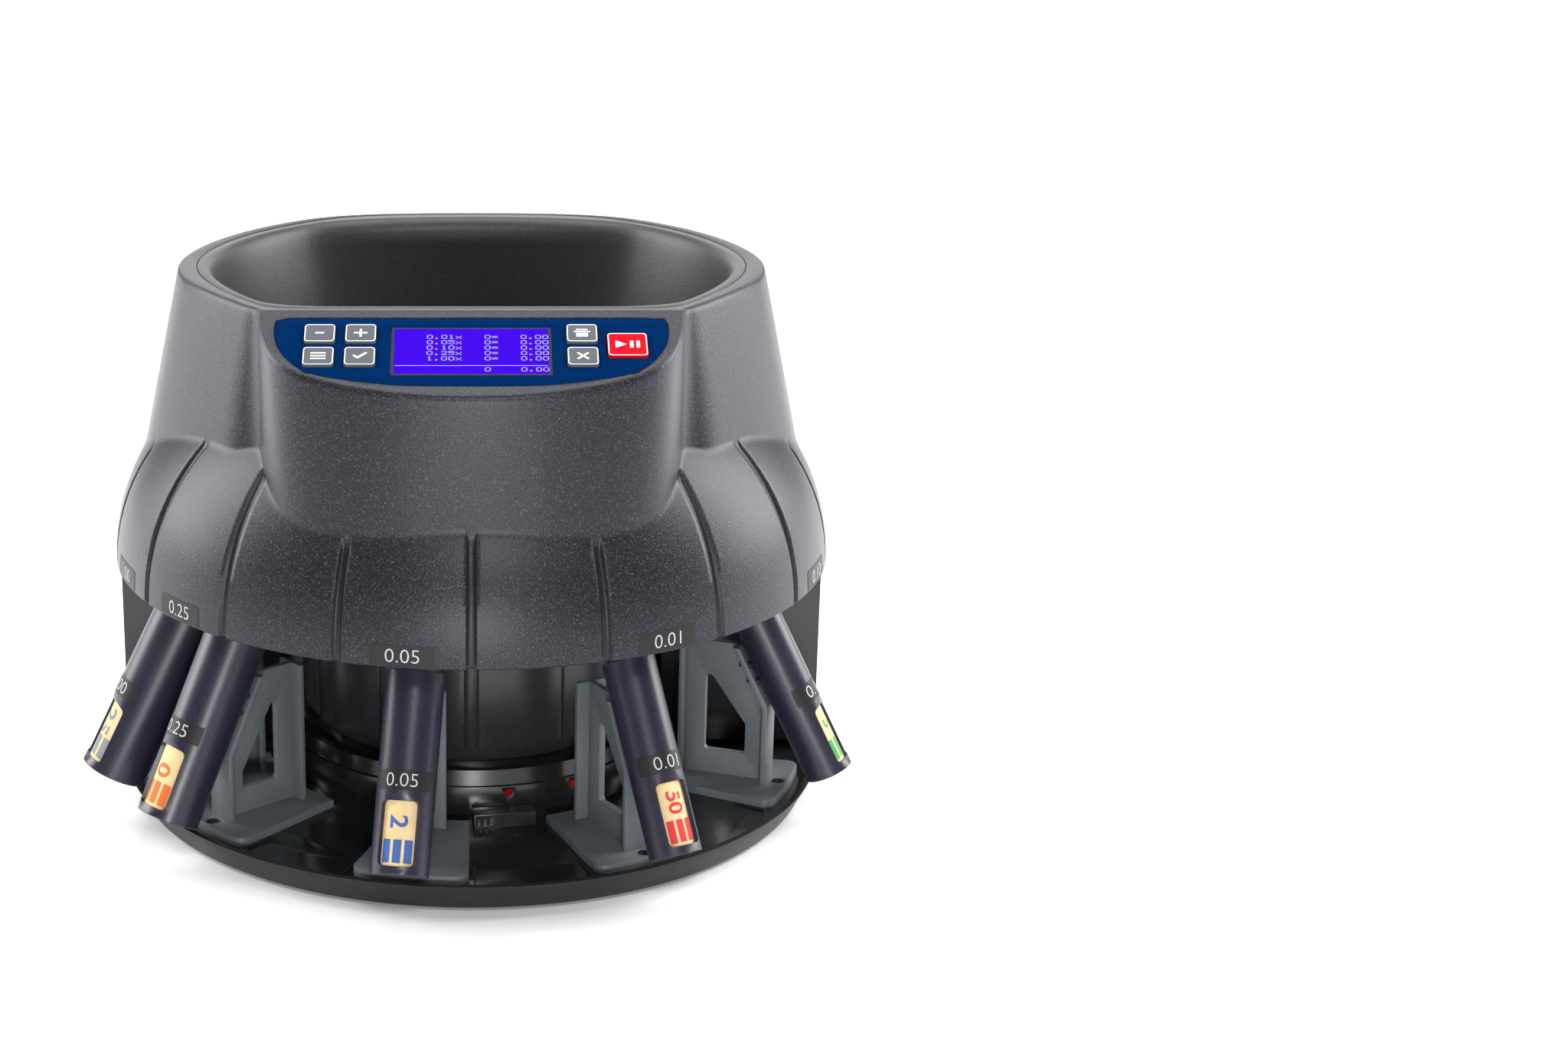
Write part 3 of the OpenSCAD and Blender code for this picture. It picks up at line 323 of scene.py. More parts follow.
def mixColour(tree, low, high, mask):
    n = tree.nodes.new("ShaderNodeMix")
    n.data_type = "RGBA"
    for i, v in ((6, low), (7, high)):
        if isinstance(v, tuple):
            n.inputs[i].default_value = v + (1.0,)
        else:
            tree.links.new(v, n.inputs[i])
    tree.links.new(mask, n.inputs[0])
    return n.outputs[2]


def spread(tree, mask, low, high, fromLow=0.3, fromHigh=0.7):
    n = tree.nodes.new("ShaderNodeMapRange")
    for i, v in ((1, fromLow), (2, fromHigh), (3, low), (4, high)):
        n.inputs[i].default_value = v
    tree.links.new(mask, n.inputs[0])
    return n.outputs[0]


def newMaterial(name):
    material = bpy.data.materials.new(name)
    material.use_nodes = True
    tree = material.node_tree
    return material, tree, tree.nodes["Principled BSDF"]


def moulded(name, tint, rough, scale=900.0, depth=0.2, vary=0.1, spec=0.5):
    material, tree, shader = newMaterial(name)
    g = useGroup(tree, grain, Scale=scale, Depth=depth)
    low, high = tuple(c * (1 - vary) for c in tint), tuple(c * (1 + vary) for c in tint)
    colour = mixColour(tree, low, high, spread(tree, g.outputs["Speckle"], 0.0, 1.0))
    tree.links.new(colour, shader.inputs["Base Color"])
    uneven = spread(tree, g.outputs["Patch"], rough * 0.84, rough * 1.16, 0.0, 1.0)
    tree.links.new(uneven, shader.inputs["Roughness"])
    tree.links.new(g.outputs["Normal"], shader.inputs["Normal"])
    shader.inputs["Specular IOR Level"].default_value = spec
    return material


def metal(name, tint, rough, stretch=(1.0, 1.0, 0.05), scale=500.0):
    material, tree, shader = newMaterial(name)
    s = useGroup(tree, streaks, Stretch=stretch, Scale=scale)
    low, high = tuple(c * 0.86 for c in tint), tint
    colour = mixColour(tree, low, high, spread(tree, s.outputs["Streak"], 0.0, 1.0))
    tree.links.new(colour, shader.inputs["Base Color"])
    tree.links.new(spread(tree, s.outputs["Streak"], rough * 0.8, rough * 1.25), shader.inputs["Roughness"])
    shader.inputs["Metallic"].default_value = 1.0
    return material


def paper(name, tint):
    material, tree, shader = newMaterial(name)
    f = useGroup(tree, fibres, Scale=1500.0)
    low = tuple(c * 0.8 for c in tint)
    tree.links.new(mixColour(tree, low, tint, spread(tree, f.outputs["Fibre"], 0.0, 1.0, 0.45, 0.95)),
                   shader.inputs["Base Color"])
    tree.links.new(f.outputs["Normal"], shader.inputs["Normal"])
    shader.inputs["Roughness"].default_value = 0.8
    return material


def lit(name, tint, glow, rough=0.3):  # glows by itself; the base is nearly black
    material, tree, shader = newMaterial(name)
    patch = useGroup(tree, grain, Scale=300.0, Depth=0.0).outputs["Patch"]
    for socket, share in (("Base Color", 0.03), ("Emission Color", 1.0)):
        full = tuple(c * share for c in tint)
        tree.links.new(mixColour(tree, tuple(c * 0.94 for c in full), full, patch), shader.inputs[socket])
    shader.inputs["Emission Strength"].default_value = glow
    shader.inputs["Roughness"].default_value = rough
    shader.inputs["Specular IOR Level"].default_value = 0.005
    return material


def makeHousing():  # grained grey with painted glints as pale flecks, and painted shade in the grooves that the mesh marks
    material = moulded("housingGrey", (0.013, 0.013, 0.018), 0.36, 1300.0, 0.34, 0.5, 0.32)
    tree = material.node_tree
    shader = tree.nodes["Principled BSDF"]
    speck = [n for n in tree.nodes if n.type == "GROUP"][0].outputs["Speckle"]
    tree.links.new(spread(tree, speck, 0.3, 0.42), shader.inputs["Roughness"])
    # painted glints: pale flecks of base colour stand in for light sparkling on the grain
    glint = spread(tree, speck, 0.0, 1.0, 0.56, 0.72)
    shader.inputs["Specular Tint"].default_value = (0.9, 0.9, 1.0, 1.0)
    # painted shade: the base colour darkens inside the grooves where the mesh's mask is high
    mark = tree.nodes.new("ShaderNodeAttribute")
    mark.attribute_name = "groove"
    old = shader.inputs["Base Color"].links[0].from_socket
    withPaintedGlints = mixColour(tree, old, (0.08, 0.08, 0.092), glint)
    grooved = mixColour(tree, withPaintedGlints, (0.012, 0.012, 0.013), mark.outputs["Fac"])
    tree.links.new(grooved, shader.inputs["Base Color"])
    return material


mats = {
    "housing": makeHousing(),
    "hopper": moulded("hopperGrey", (0.03, 0.03, 0.034), 0.4, 1300.0, 0.3, 0.35, 0.4),
    "base": moulded("baseBlack", (0.01, 0.01, 0.011), 0.2, 500.0, 0.04, 0.1, 0.6),
    "rim": moulded("rimBlack", (0.013, 0.013, 0.014), 0.44, 900.0, 0.25, 0.1, 0.3),
    "drum": moulded("drumBlack", (0.022, 0.022, 0.025), 0.26, 400.0, 0.05, 0.1),
    "bracket": moulded("bracketGrey", (0.11, 0.128, 0.138), 0.46, 700.0, 0.12, 0.08, 0.4),
    "tube": moulded("tubeSmoke", (0.017, 0.015, 0.03), 0.34, 700.0, 0.08, 0.25),
    "label": moulded("labelBlack", (0.012, 0.011, 0.011), 0.5, 900.0, 0.04, 0.08, 0.3),
    "ink": moulded("inkWhite", (0.82, 0.82, 0.84), 0.6, 900.0, 0.02, 0.03),
    "labelInk": moulded("inkGrey", (0.46, 0.46, 0.48), 0.6, 900.0, 0.02, 0.05),
    "panel": moulded("panelNavy", (0.0, 0.016, 0.075), 0.7, 700.0, 0.02, 0.04, 0.004),
    "key": moulded("keyGrey", (0.105, 0.11, 0.118), 0.65, 900.0, 0.04, 0.05, 0.03),
    "red": moulded("keyRed", (0.52, 0.004, 0.012), 0.65, 900.0, 0.04, 0.05, 0.02),
    "display": lit("displayViolet", (0.068, 0.003, 0.96), 0.92, 0.7),
    "dots": lit("displayDots", (0.66, 0.58, 1.0), 0.9, 0.7),
    "bezel": moulded("displayBezel", (0.006, 0.004, 0.03), 0.5, 700.0, 0.02, 0.05, 0.2),
    "lamp": lit("lampRed", (0.75, 0.01, 0.01), 0.25, 0.15),
    "kraft": paper("kraftPaper", (0.72, 0.53, 0.27)),
    "module": moulded("moduleBlack", (0.03, 0.03, 0.032), 0.5),
    "board": moulded("boardGreen", (0.012, 0.11, 0.045), 0.4, 500.0, 0.1, 0.2),
    "socket": moulded("socketBlack", (0.022, 0.022, 0.022), 0.45, 800.0, 0.15),
    "disc": moulded("discGrey", (0.07, 0.07, 0.074), 0.4, 800.0, 0.15),
    "paddle": moulded("paddleOrange", (0.42, 0.07, 0.02), 0.65, 600.0, 0.1),
    "gear": moulded("gearIvory", (0.66, 0.6, 0.46), 0.45, 700.0, 0.08),
    "rubber": moulded("footRubber", (0.02, 0.02, 0.02), 0.85, 800.0, 0.3),
    "aluminium": metal("deckAluminium", (0.72, 0.73, 0.75), 0.32, (1.0, 1.0, 1.0), 300.0),
    "steel": metal("platedSteel", (0.6, 0.6, 0.62), 0.28),
    "blackSteel": metal("blackSteel", (0.05, 0.05, 0.055), 0.4),
    "can": metal("motorCan", (0.52, 0.53, 0.55), 0.36, (1.0, 1.0, 0.1), 300.0),
    "zinc": metal("zincPlate", (0.55, 0.56, 0.6), 0.42, (1.0, 1.0, 1.0), 160.0),
    "bronze": metal("sinteredBronze", (0.68, 0.46, 0.2), 0.4, (1.0, 1.0, 1.0), 700.0),
}
inks = {"dollar": (0.2, 0.22, 0.24), "quarter": (0.72, 0.14, 0.02), "nickel": (0.04, 0.11, 0.36),
        "penny": (0.62, 0.03, 0.04), "dime": (0.06, 0.34, 0.09)}
for coin, tint in inks.items():
    mats["print" + coin] = paper("print" + coin.capitalize(), tint)
print("materials:", len(mats))

# Top housing: one polar grid for skirt, upper body and bulge, with the grooves along its columns
housing = {"skirtZ": 122.0, "topZ": 265.0, "arc": 100.0, "arcMid": 77.5, "coneZ": 150.0, "joinTop": 216.0,
           "rimR": 144.5, "rimBack": 134.0, "rimFront": 96.0, "backY": 152.5, "frontY": 95.0, "foldY": 92.0,
           "lean": math.tan(math.radians(12)), "cornerLean": math.tan(math.radians(7.5)),
           "cornerR": 207.0, "cornerShift": 71.5, "cornerAngle": math.radians(55), "cornerFace": 134.5,
           "slope": math.radians(20), "edge": 2.6, "wall": 3.0, "seatZ": 263.5, "firstR": 165.0,
           "grooves": 18, "between": 26, "foot": 0.6, "near": 5.0}
soft = {"corner": 6, "back": 1.3, "front": 18, "face": 9, "dome": 1.8, "rear": 2.0, "inside": 1.0,
        "bulge": 10, "joinZ": (190, 262), "join": (16, 8)}  # how widely walls blend
bulge = {"cornerX": 30.0, "cornerY": 97.0, "cornerR": 66.5, "frontY": 161.0, "bowR": 205.0, "footZ": 176.0,
         "lean": math.tan(math.radians(4))}


def wallAt(along, distance, least=0.05):  # how far a ray goes to a flat wall, and far off where it turns away
    return np.where(along > least, distance / np.maximum(along, least), 1e4)


def rimReach(phi, inset, front, k):  # outline of the rim, as reach from the axis
    dx, dy = np.sin(phi), -np.cos(phi)
    r = np.full_like(phi, housing["rimR"]) - inset
    a = housing["cornerAngle"]
    for s in (-1, 1):
        cx, cy = -s * housing["cornerShift"] * math.sin(a), housing["cornerShift"] * math.cos(a)
        r = softMin(r, rayCircle(dx, dy, cx, cy, housing["cornerR"] - inset), soft["corner"])
    r = softMin(r, wallAt(dy, housing["rimBack"] - inset), k * soft["back"])
    return softMin(r, wallAt(-dy, front), k)


def bulgeReach(phi, z):
    dx, dy = np.sin(phi), -np.cos(phi)
    deep = bulge["cornerY"] + bulge["cornerR"]
    side = twoCircles(dx, dy, bulge["cornerX"], -bulge["cornerY"], bulge["cornerR"])
    ahead = np.maximum(-dy, 0.05)
    side = np.maximum(side, np.where(np.abs(dx / ahead) * deep < bulge["cornerX"], deep / ahead, 0))
    bow = rayCircle(dx, dy, 0, bulge["bowR"] - bulge["frontY"],
                    bulge["bowR"] + (bulge["footZ"] - z) * bulge["lean"])
    return np.where(dy < 0, softMin(side, bow, soft["bulge"]), 0)


def bodyReach(phi, z):
    drop = housing["topZ"] - z
    upper = rimReach(phi, -drop * housing["lean"], housing["frontY"], soft["front"])
    for s in (-1, 1):  # the corner faces lean less than the walls
        ahead = np.cos(phi - s * housing["cornerAngle"])
        face = wallAt(ahead, housing["cornerFace"] + drop * housing["cornerLean"], 0.2)
        upper = softMin(upper, face, soft["face"])
    k = np.interp(z, soft["joinZ"], soft["join"])
    return np.where(z < housing["coneZ"], 0, softMax(upper, bulgeReach(phi, z), k))


def domeReach(z, inset=0.0):
    rise = z - housing["skirtZ"]
    return housing["arcMid"] + np.sqrt(np.maximum((housing["arc"] - inset) ** 2 - rise ** 2, 0))


def wallReach(phi, z, depth):
    r = softMax(domeReach(z) - depth, bodyReach(phi, z), soft["dome"])
    return softMin(r, wallAt(-np.cos(phi), housing["backY"]), soft["rear"])


grooveU = np.array([-2.6, -2.25, -1.75, -1.0, 0.0, 1.0, 1.75, 2.25, 2.6])  # places across a groove
grooveD = np.array([0.0, 0.3, 1.5, 1.9, 1.9, 1.9, 1.5, 0.3, 0.0])  # and its depth there
grooves, between = housing["grooves"], housing["between"]
pitch = 2 * math.pi / grooves
colK = np.repeat(np.arange(grooves), len(grooveU) + between) * pitch
colU = np.tile(np.concatenate([grooveU, np.full(between, grooveU[-1])]), grooves)
colS = np.tile(np.concatenate([np.zeros(len(grooveU)), np.arange(1, between + 1) / (between + 1)]), grooves)
colD = np.tile(np.concatenate([grooveD, np.zeros(between)]), grooves)


def colPhi(r):
    turn = np.arcsin(np.clip(colU / r, -1, 1))
    return np.where(colS > 0, colK + turn + colS * (pitch - 2 * turn), colK + turn)


def level(value):
    return np.full_like(colU, value)


def atHeight(z, depth):
    r = level(housing["firstR"])
    for _ in range(3):
        r = wallReach(colPhi(r), z, depth)
    return r


low, high = level(housing["coneZ"]), level(housing["joinTop"])
for _ in range(40):  # height at which each column leaves the dome
    mid = (low + high) / 2
    on = domeReach(mid) - colD > bodyReach(colPhi(domeReach(mid)), mid)
    low, high = np.where(on, mid, low), np.where(on, high, mid)
joinZ = (low + high) / 2
fall = math.tan(housing["slope"])
endZ = level(housing["topZ"])
for _ in range(30):
    r = atHeight(endZ, 0.0)
    endZ = np.minimum(housing["topZ"], housing["topZ"] - (r * np.cos(colPhi(r)) - housing["foldY"]) * fall)
skirtZ, near, edge = housing["skirtZ"], housing["near"], housing["edge"]  # rows lie closer near the join
lowest = skirtZ + housing["foot"]
heights = [lowest + (joinZ - (near + housing["foot"]) - skirtZ) * t for t in np.linspace(0, 1, 24)]
heights += [joinZ - near + 2 * near * t for t in np.linspace(0, 1, 11)[1:]]
heights += [joinZ + near + (endZ - near - edge - joinZ) * t for t in np.linspace(0, 1, 22)[1:]]
rows = []
for rise in (30.0, 18.0, 8.0, 0.5):  # the wall's inside, down to its foot
    r = level(float(domeReach(skirtZ + rise, housing["wall"])))
    r = softMin(r, wallAt(-np.cos(colPhi(r)), housing["backY"] - housing["wall"]), soft["inside"])
    rows.append((r, level(skirtZ + rise)))
footZ = level(skirtZ)
foot = atHeight(footZ, colD)
rows += [(np.minimum(rows[-1][0] + 0.4, foot - 0.8), footZ), (foot - 0.5, footZ)]
# painted shade mask for the grooves, set by groove depth below the join
grooveShadeMarks = [level(0.0)] * len(rows)
for z in heights:
    rows.append((atHeight(z, colD), z))
    grooveShadeMarks.append(np.where(z < joinZ + 0.5, np.clip(colD - 0.3, 0, 1.2) / 1.2, 0))
cornerR = atHeight(endZ, 0.0)
cap = np.where(cornerR * np.cos(colPhi(cornerR)) > housing["foldY"], fall * np.cos(colPhi(cornerR)), 0.0)
wallEnd = rows[-1]
inR = cornerR - edge / np.sqrt(1 + cap ** 2)
inZ = np.minimum(endZ + edge * cap / np.sqrt(1 + cap ** 2), housing["topZ"])
for t in np.linspace(0, 1, 6)[1:]:
    rows.append((curveAt(wallEnd[0], cornerR, inR, t), curveAt(wallEnd[1], endZ, inZ, t)))
    grooveShadeMarks.append(level(0.0))
points = [pointsAt(r, colPhi(r), z) for r, z in rows]
rimLoop = points[-1]
shellPoints = np.concatenate(points)
shellFaces = gridFaces(len(rows), len(colU), True)


def panelPoint(p):  # across, up the slope from the fold, and out of the panel
    p = np.asarray(p, float)
    c, s = math.cos(housing["slope"]), math.sin(housing["slope"])
    y, z = p[:, 1] * c - p[:, 2] * s - housing["foldY"], p[:, 1] * s + p[:, 2] * c + housing["topZ"]
    return np.stack([p[:, 0], y, z], 1)


plate = {"halfW": 89.0, "top": -6.0, "bottom": 61.0, "bowR": 235.0, "cornerR": 45.0, "cornerV": 14.5,
         "midV": -28.0, "seat": 1.6, "thick": 1.2, "edge": 0.25, "soft": (3, 5)}


def panelLoop(grow):  # outline of the control panel with rounded upper corners
    t = fullTurn(160) + 0.01
    dx, dy, midV = np.cos(t), np.sin(t), plate["midV"]
    corner = plate["halfW"] - plate["cornerR"]
    side = twoCircles(dx, dy, corner, -plate["cornerV"] - midV, plate["cornerR"] + grow)
    down = np.maximum(-dy, 0.02)
    deep = plate["cornerV"] + plate["cornerR"] + midV + grow
    side = np.maximum(side, np.where((dy < 0) & (np.abs(dx / down) * deep < corner), deep / down, 0))
    side = np.where((dy > 0) & (side < 40), 60, side)
    bow = rayCircle(dx, dy, 0, plate["bowR"] - plate["bottom"] - midV, plate["bowR"] + grow)
    r = softMin(side, bow, plate["soft"][0])
    r = softMin(r, wallAt(dy, plate["top"] - midV + grow, 0.02), plate["soft"][1])
    return np.stack([r * dx, r * dy + midV], 1)


def loopBand(loops):  # rings of equal length joined into a strip
    pts = np.concatenate(loops)
    return pts, gridFaces(len(loops), len(loops[0]), True)


def flatCap(outer, holes, lift):  # a flat face between an outline and its holes
    flat = [[Vector((p[0], p[1], 0)) for p in loop] for loop in [outer] + holes]
    pts = np.concatenate([lift(np.asarray(loop)) for loop in [outer] + holes])
    return pts, geometry.tessellate_polygon(flat)


turn = fullTurn(240)


def rimRing(inset, z, k=10):
    return pointsAt(rimReach(turn, inset, housing["rimFront"] - inset, k), turn, z)


fold = housing["foldY"]
isBack = rimLoop[:, 1] > -fold - 1e-6
first = int(np.argmax(isBack & ~np.roll(isBack, 1)))
around = np.roll(rimLoop, -first, 0)
backCount = int((around[:, 1] > -fold - 1e-6).sum())
backPart, frontPart = around[:backCount], around[backCount:]


def crossing(a, b):
    t = (-fold - a[1]) / (b[1] - a[1])
    return np.array([a[0] + t * (b[0] - a[0]), -fold, housing["topZ"]])


endA, endB = crossing(frontPart[-1], backPart[0]), crossing(backPart[-1], frontPart[0])
backLoop = np.concatenate([[endA], backPart, [endB]])
topZ, seatZ = housing["topZ"], housing["seatZ"]
seat = {"topIn": 8.2, "wallIn": 8.7, "floorIn": 13.7, "chamfer": 0.4}
seatTop = rimRing(seat["topIn"], topZ)
topCap = flatCap(backLoop[:, :2], [seatTop[:, :2]], lambda p: np.column_stack([p, np.full(len(p), topZ)]))
seatBand = loopBand([seatTop, rimRing(seat["wallIn"], topZ - seat["chamfer"]),
                     rimRing(seat["wallIn"], seatZ), rimRing(seat["floorIn"], seatZ)])
frontLoop = np.concatenate([[endB], frontPart, [endA]])
inv = 1 / math.cos(housing["slope"])
slopeLoop = np.stack([frontLoop[:, 0], (frontLoop[:, 1] + fold) * inv], 1)
slopeCap = flatCap(slopeLoop, [panelLoop(0.9)], lambda p: panelPoint(np.column_stack([p, np.zeros(len(p))])))


def panelRing(grow, w):
    loop = panelLoop(grow)
    return panelPoint(np.column_stack([loop, np.full(len(loop), w)]))


seatSteps = ((0.9, 0.0), (0.3, -0.35), (0.2, -0.8), (0.2, -plate["seat"]), (-6, -plate["seat"]))
panelBand = loopBand([panelRing(grow, w) for grow, w in seatSteps])
allPoints, allFaces = joinParts([(shellPoints, shellFaces), topCap, seatBand, slopeCap, panelBand])
topShell = makePiece("topShell", allPoints, allFaces, mats["housing"], "machine", 40)
# the painted groove shade mask goes onto the shell's points
mark = topShell.data.attributes.new("groove", "FLOAT", "POINT")
grooveShadeValues = np.zeros(len(topShell.data.vertices), np.float32)
grooveShadeValues[:len(shellPoints)] = np.concatenate(grooveShadeMarks)
mark.data.foreach_set("value", grooveShadeValues)
fixNormals(topShell, 5e-6)
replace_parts(topShell, "top_housing")
print("top housing:", len(allFaces), "faces")

# Hopper: a flange in the rim's seat and a funnel down to the feed disc
bowl = {"mouthR": 104.0, "mouthZ": 160.0, "topZ": 264.9, "innerZ": 262.6, "lip": 2.5, "rows": 22,
        "edgeIn": 9.0, "chamfer": 0.4, "flatIn": 12.2, "kneeIn": 15.6, "innerIn": 16.5, "bend": 0.04}
edgeIn, rimZ, bend = bowl["edgeIn"], bowl["topZ"], bowl["bend"]
rings = [rimRing(edgeIn, seatZ), rimRing(edgeIn, rimZ - bowl["chamfer"]),
         rimRing(edgeIn + bowl["chamfer"], rimZ), rimRing(bowl["flatIn"], rimZ, 18)]
inner = rimRing(bowl["innerIn"], bowl["innerZ"], 26)
mouth = pointsAt(bowl["mouthR"], turn, bowl["mouthZ"] + 1)
start, knee = rings[-1], rimRing(bowl["kneeIn"], rimZ, 24)
for t in np.linspace(0, 1, 7)[1:]:
    rings.append(curveAt(start, knee, inner * (1 - bend) + mouth * bend, t))
for t in np.linspace(bend, 1, bowl["rows"])[1:]:
    rings.append(inner * (1 - t) + mouth * t)
lip = mouth.copy()
lip[:, 2] = bowl["mouthZ"]
lip[:, :2] *= (bowl["mouthR"] + bowl["lip"]) / bowl["mouthR"]
rings.append(lip)
hopperPoints, hopperFaces = loopBand(rings)
hopper = fixNormals(makePiece("hopperFunnel", hopperPoints, hopperFaces, mats["hopper"], "machine", 50))
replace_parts(hopper, "hopper_bowl")
print("hopper:", len(hopperFaces), "faces")

# Control panel: navy plate, display and keys
keys = {"upper": -19.2, "lower": -37.4, "inner": 49.8, "outer": 68.3, "w": 14.0, "startU": 70.0,
        "startW": 18.0, "gap": 0.7, "footW": -3.2, "rise": 1.2, "inkLow": -0.1, "inkHigh": 0.05,
        "corner": 2.0, "gapCorner": 2.3, "edge": 0.25, "ring": ((0.5, 1.8), (1.4, 1.4))}
keySpots = {name: (side * keys[col], keys[row], keys["w"]) for name, side, col, row in (
    ("minus", -1, "outer", "upper"), ("plus", -1, "inner", "upper"), ("mode", -1, "outer", "lower"),
    ("set", -1, "inner", "lower"), ("print", 1, "inner", "upper"), ("clear", 1, "inner", "lower"))}
keySpots["start"] = (keys["startU"], (keys["upper"] + keys["lower"]) / 2, keys["startW"])
screen = {"w": 72.0, "h": 38.0, "v": -32.0, "border": 1.4, "glass": 1.15, "litLow": 1.0, "litHigh": 1.2,
          "dotW": 1.24, "across": 128, "down": 66, "cellW": 6, "cellH": 8, "squash": 0.84,
          "left": 3, "head": 1, "rule": 54, "gap": 0.4, "gapCorner": 1.2, "corner": 1.0, "litCorner": 0.8,
          "edge": 0.2, "dot": (0.94, 0.76), "dotH": 0.06, "columns": (4, 12, 17), "totalRow": 7}
gaps = [roundRect(w + keys["gap"], w + keys["gap"], keys["gapCorner"], u, v)
        for u, v, w in keySpots.values()]
around = screen["gap"]
gaps.append(roundRect(screen["w"] + around, screen["h"] + around, screen["gapCorner"], 0, screen["v"]))
seatW = -plate["seat"]


def onPanel(name, solid, look, body="machine", sharp=30):
    return fixNormals(makePiece(name, panelPoint(solid[0]), solid[1], mats[look], body, sharp))


plateSolid = slab(panelLoop(0.0), gaps, seatW, seatW + plate["thick"], plate["edge"])
panel = onPanel("panelPlate", plateSolid, "panel")
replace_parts(panel, "control_panel")
outline = roundRect(screen["w"], screen["h"], screen["corner"], 0, screen["v"])
glass = onPanel("displayGlass", slab(outline, [], seatW, seatW + screen["glass"], screen["edge"]), "bezel")
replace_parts(glass, "display_window")
litW, litH = screen["w"] - 2 * screen["border"], screen["h"] - 2 * screen["border"]
outline = roundRect(litW, litH, screen["litCorner"], 0, screen["v"])
onPanel("displayLight", slab(outline, [], seatW + screen["litLow"], seatW + screen["litHigh"]), "display")

# Display text in dots, seven rows of five bits to a sign
glyphs = {"0": (14, 17, 17, 17, 17, 17, 14), "1": (4, 12, 4, 4, 4, 4, 14), "2": (14, 17, 1, 2, 4, 8, 31),
          "5": (31, 16, 30, 1, 1, 17, 14), ".": (0, 0, 0, 0, 0, 12, 12), "x": (0, 0, 17, 10, 4, 10, 17),
          "=": (0, 0, 31, 0, 31, 0, 0)}
screenRows = ["0.01", "0.05", "0.10", "0.25", "1.00"]
worthCol, countCol, sumCol = screen["columns"]
cells = [(worthCol, 1 + r, v + "x") for r, v in enumerate(screenRows)]
cells += [(countCol, 1 + r, "0=") for r in range(len(screenRows))]
cells += [(sumCol, 1 + r, "0.00") for r in range(len(screenRows))]
cells += [(countCol, screen["totalRow"], "0"), (sumCol, screen["totalRow"], "0.00")]
pitchU, pitchV = litW / screen["across"], litH / screen["down"]
dots = []
for col, row, text in cells:
    for k, sign in enumerate(text):
        left, head = screen["left"] + (col + k) * screen["cellW"], screen["head"] + row * screen["cellH"]
        for j, bits in enumerate(glyphs[sign]):
            dots += [(left + i, head + j * screen["squash"]) for i in range(5) if bits >> (4 - i) & 1]
dots += [(i, screen["rule"]) for i in range(1, screen["across"] - 1)]  # the line above the total
dotPoints = [(-litW / 2 + (i + 0.5) * pitchU, screen["v"] + litH / 2 - (j + 0.5) * pitchV,
              seatW + screen["dotW"]) for i, j in dots]


def makeScatter(name):  # one small shape on each point of a mesh
    tree = bpy.data.node_groups.new(name, "GeometryNodeTree")
    join, addNode = tree.links.new, tree.nodes.new
    tree.interface.new_socket(name="Geometry", in_out="INPUT", socket_type="NodeSocketGeometry")
    names = ("Width", "Length", "Height")
    sizes = [tree.interface.new_socket(name=n, in_out="INPUT", socket_type="NodeSocketFloat") for n in names]
    finish = tree.interface.new_socket(name="Finish", in_out="INPUT", socket_type="NodeSocketMaterial")
    tree.interface.new_socket(name="Geometry", in_out="OUTPUT", socket_type="NodeSocketGeometry")
    gin, gout = addNode("NodeGroupInput"), addNode("NodeGroupOutput")
    cube = addNode("GeometryNodeMeshCube")
    size = addNode("ShaderNodeCombineXYZ")
    for i, n in enumerate(names):
        join(gin.outputs[n], size.inputs[i])
    join(size.outputs[0], cube.inputs["Size"])
    turnBy = addNode("GeometryNodeInputNamedAttribute")
    turnBy.data_type = "FLOAT_VECTOR"
    turnBy.inputs["Name"].default_value = "turn"
    place = addNode("GeometryNodeInstanceOnPoints")
    join(gin.outputs["Geometry"], place.inputs["Points"])
    join(cube.outputs["Mesh"], place.inputs["Instance"])
    rotation = addNode("FunctionNodeEulerToRotation")
    join(turnBy.outputs["Attribute"], rotation.inputs[0])
    join(rotation.outputs[0], place.inputs["Rotation"])
    real = addNode("GeometryNodeRealizeInstances")
    paint = addNode("GeometryNodeSetMaterial")
    join(place.outputs["Instances"], real.inputs["Geometry"])
    join(real.outputs["Geometry"], paint.inputs["Geometry"])
    join(gin.outputs["Finish"], paint.inputs["Material"])
    join(paint.outputs["Geometry"], gout.inputs["Geometry"])
    return tree, [s.identifier for s in sizes], finish.identifier


scatter, scatterSizes, scatterFinish = makeScatter("scatterBlocks")


def scattered(name, spots, size, material, body, lift=None, turns=None):
    seeds = bpy.data.meshes.new(name + "Spots")
    seeds.from_pydata((np.asarray(spots, float) * mm).tolist(), [], [])
    facing = seeds.attributes.new("turn", "FLOAT_VECTOR", "POINT")
    facing.data.foreach_set("vector", np.asarray(turns or [(0, 0, 0)] * len(spots), np.float32).ravel())
    holder = newObject(name + "Spots", seeds)
    modifier = holder.modifiers.new("scatter", "NODES")
    modifier.node_group = scatter
    for key, value in zip(scatterSizes, size):
        modifier[key] = value * mm
    modifier[scatterFinish] = material
    bpy.context.view_layer.update()
    mesh = plainMesh(holder)
    mesh.name = name
    holder.modifiers.remove(modifier)
    bpy.data.objects.remove(holder)
    bpy.data.meshes.remove(seeds)
    if lift:
        co = np.array([v.co for v in mesh.vertices]) / mm
        mesh.vertices.foreach_set("co", (lift(co) * mm).astype(np.float32).ravel())
    return addObject(name, mesh, body)


dotSize = (pitchU * screen["dot"][0], pitchV * screen["dot"][1], screen["dotH"])
scattered("displayDots", dotPoints, dotSize, mats["dots"], "machine", panelPoint)
keyTop = seatW + plate["thick"] + keys["rise"]


def bar(x1, y1, x2, y2):
    return [(x1, y1), (x2, y1), (x2, y2), (x1, y2)]


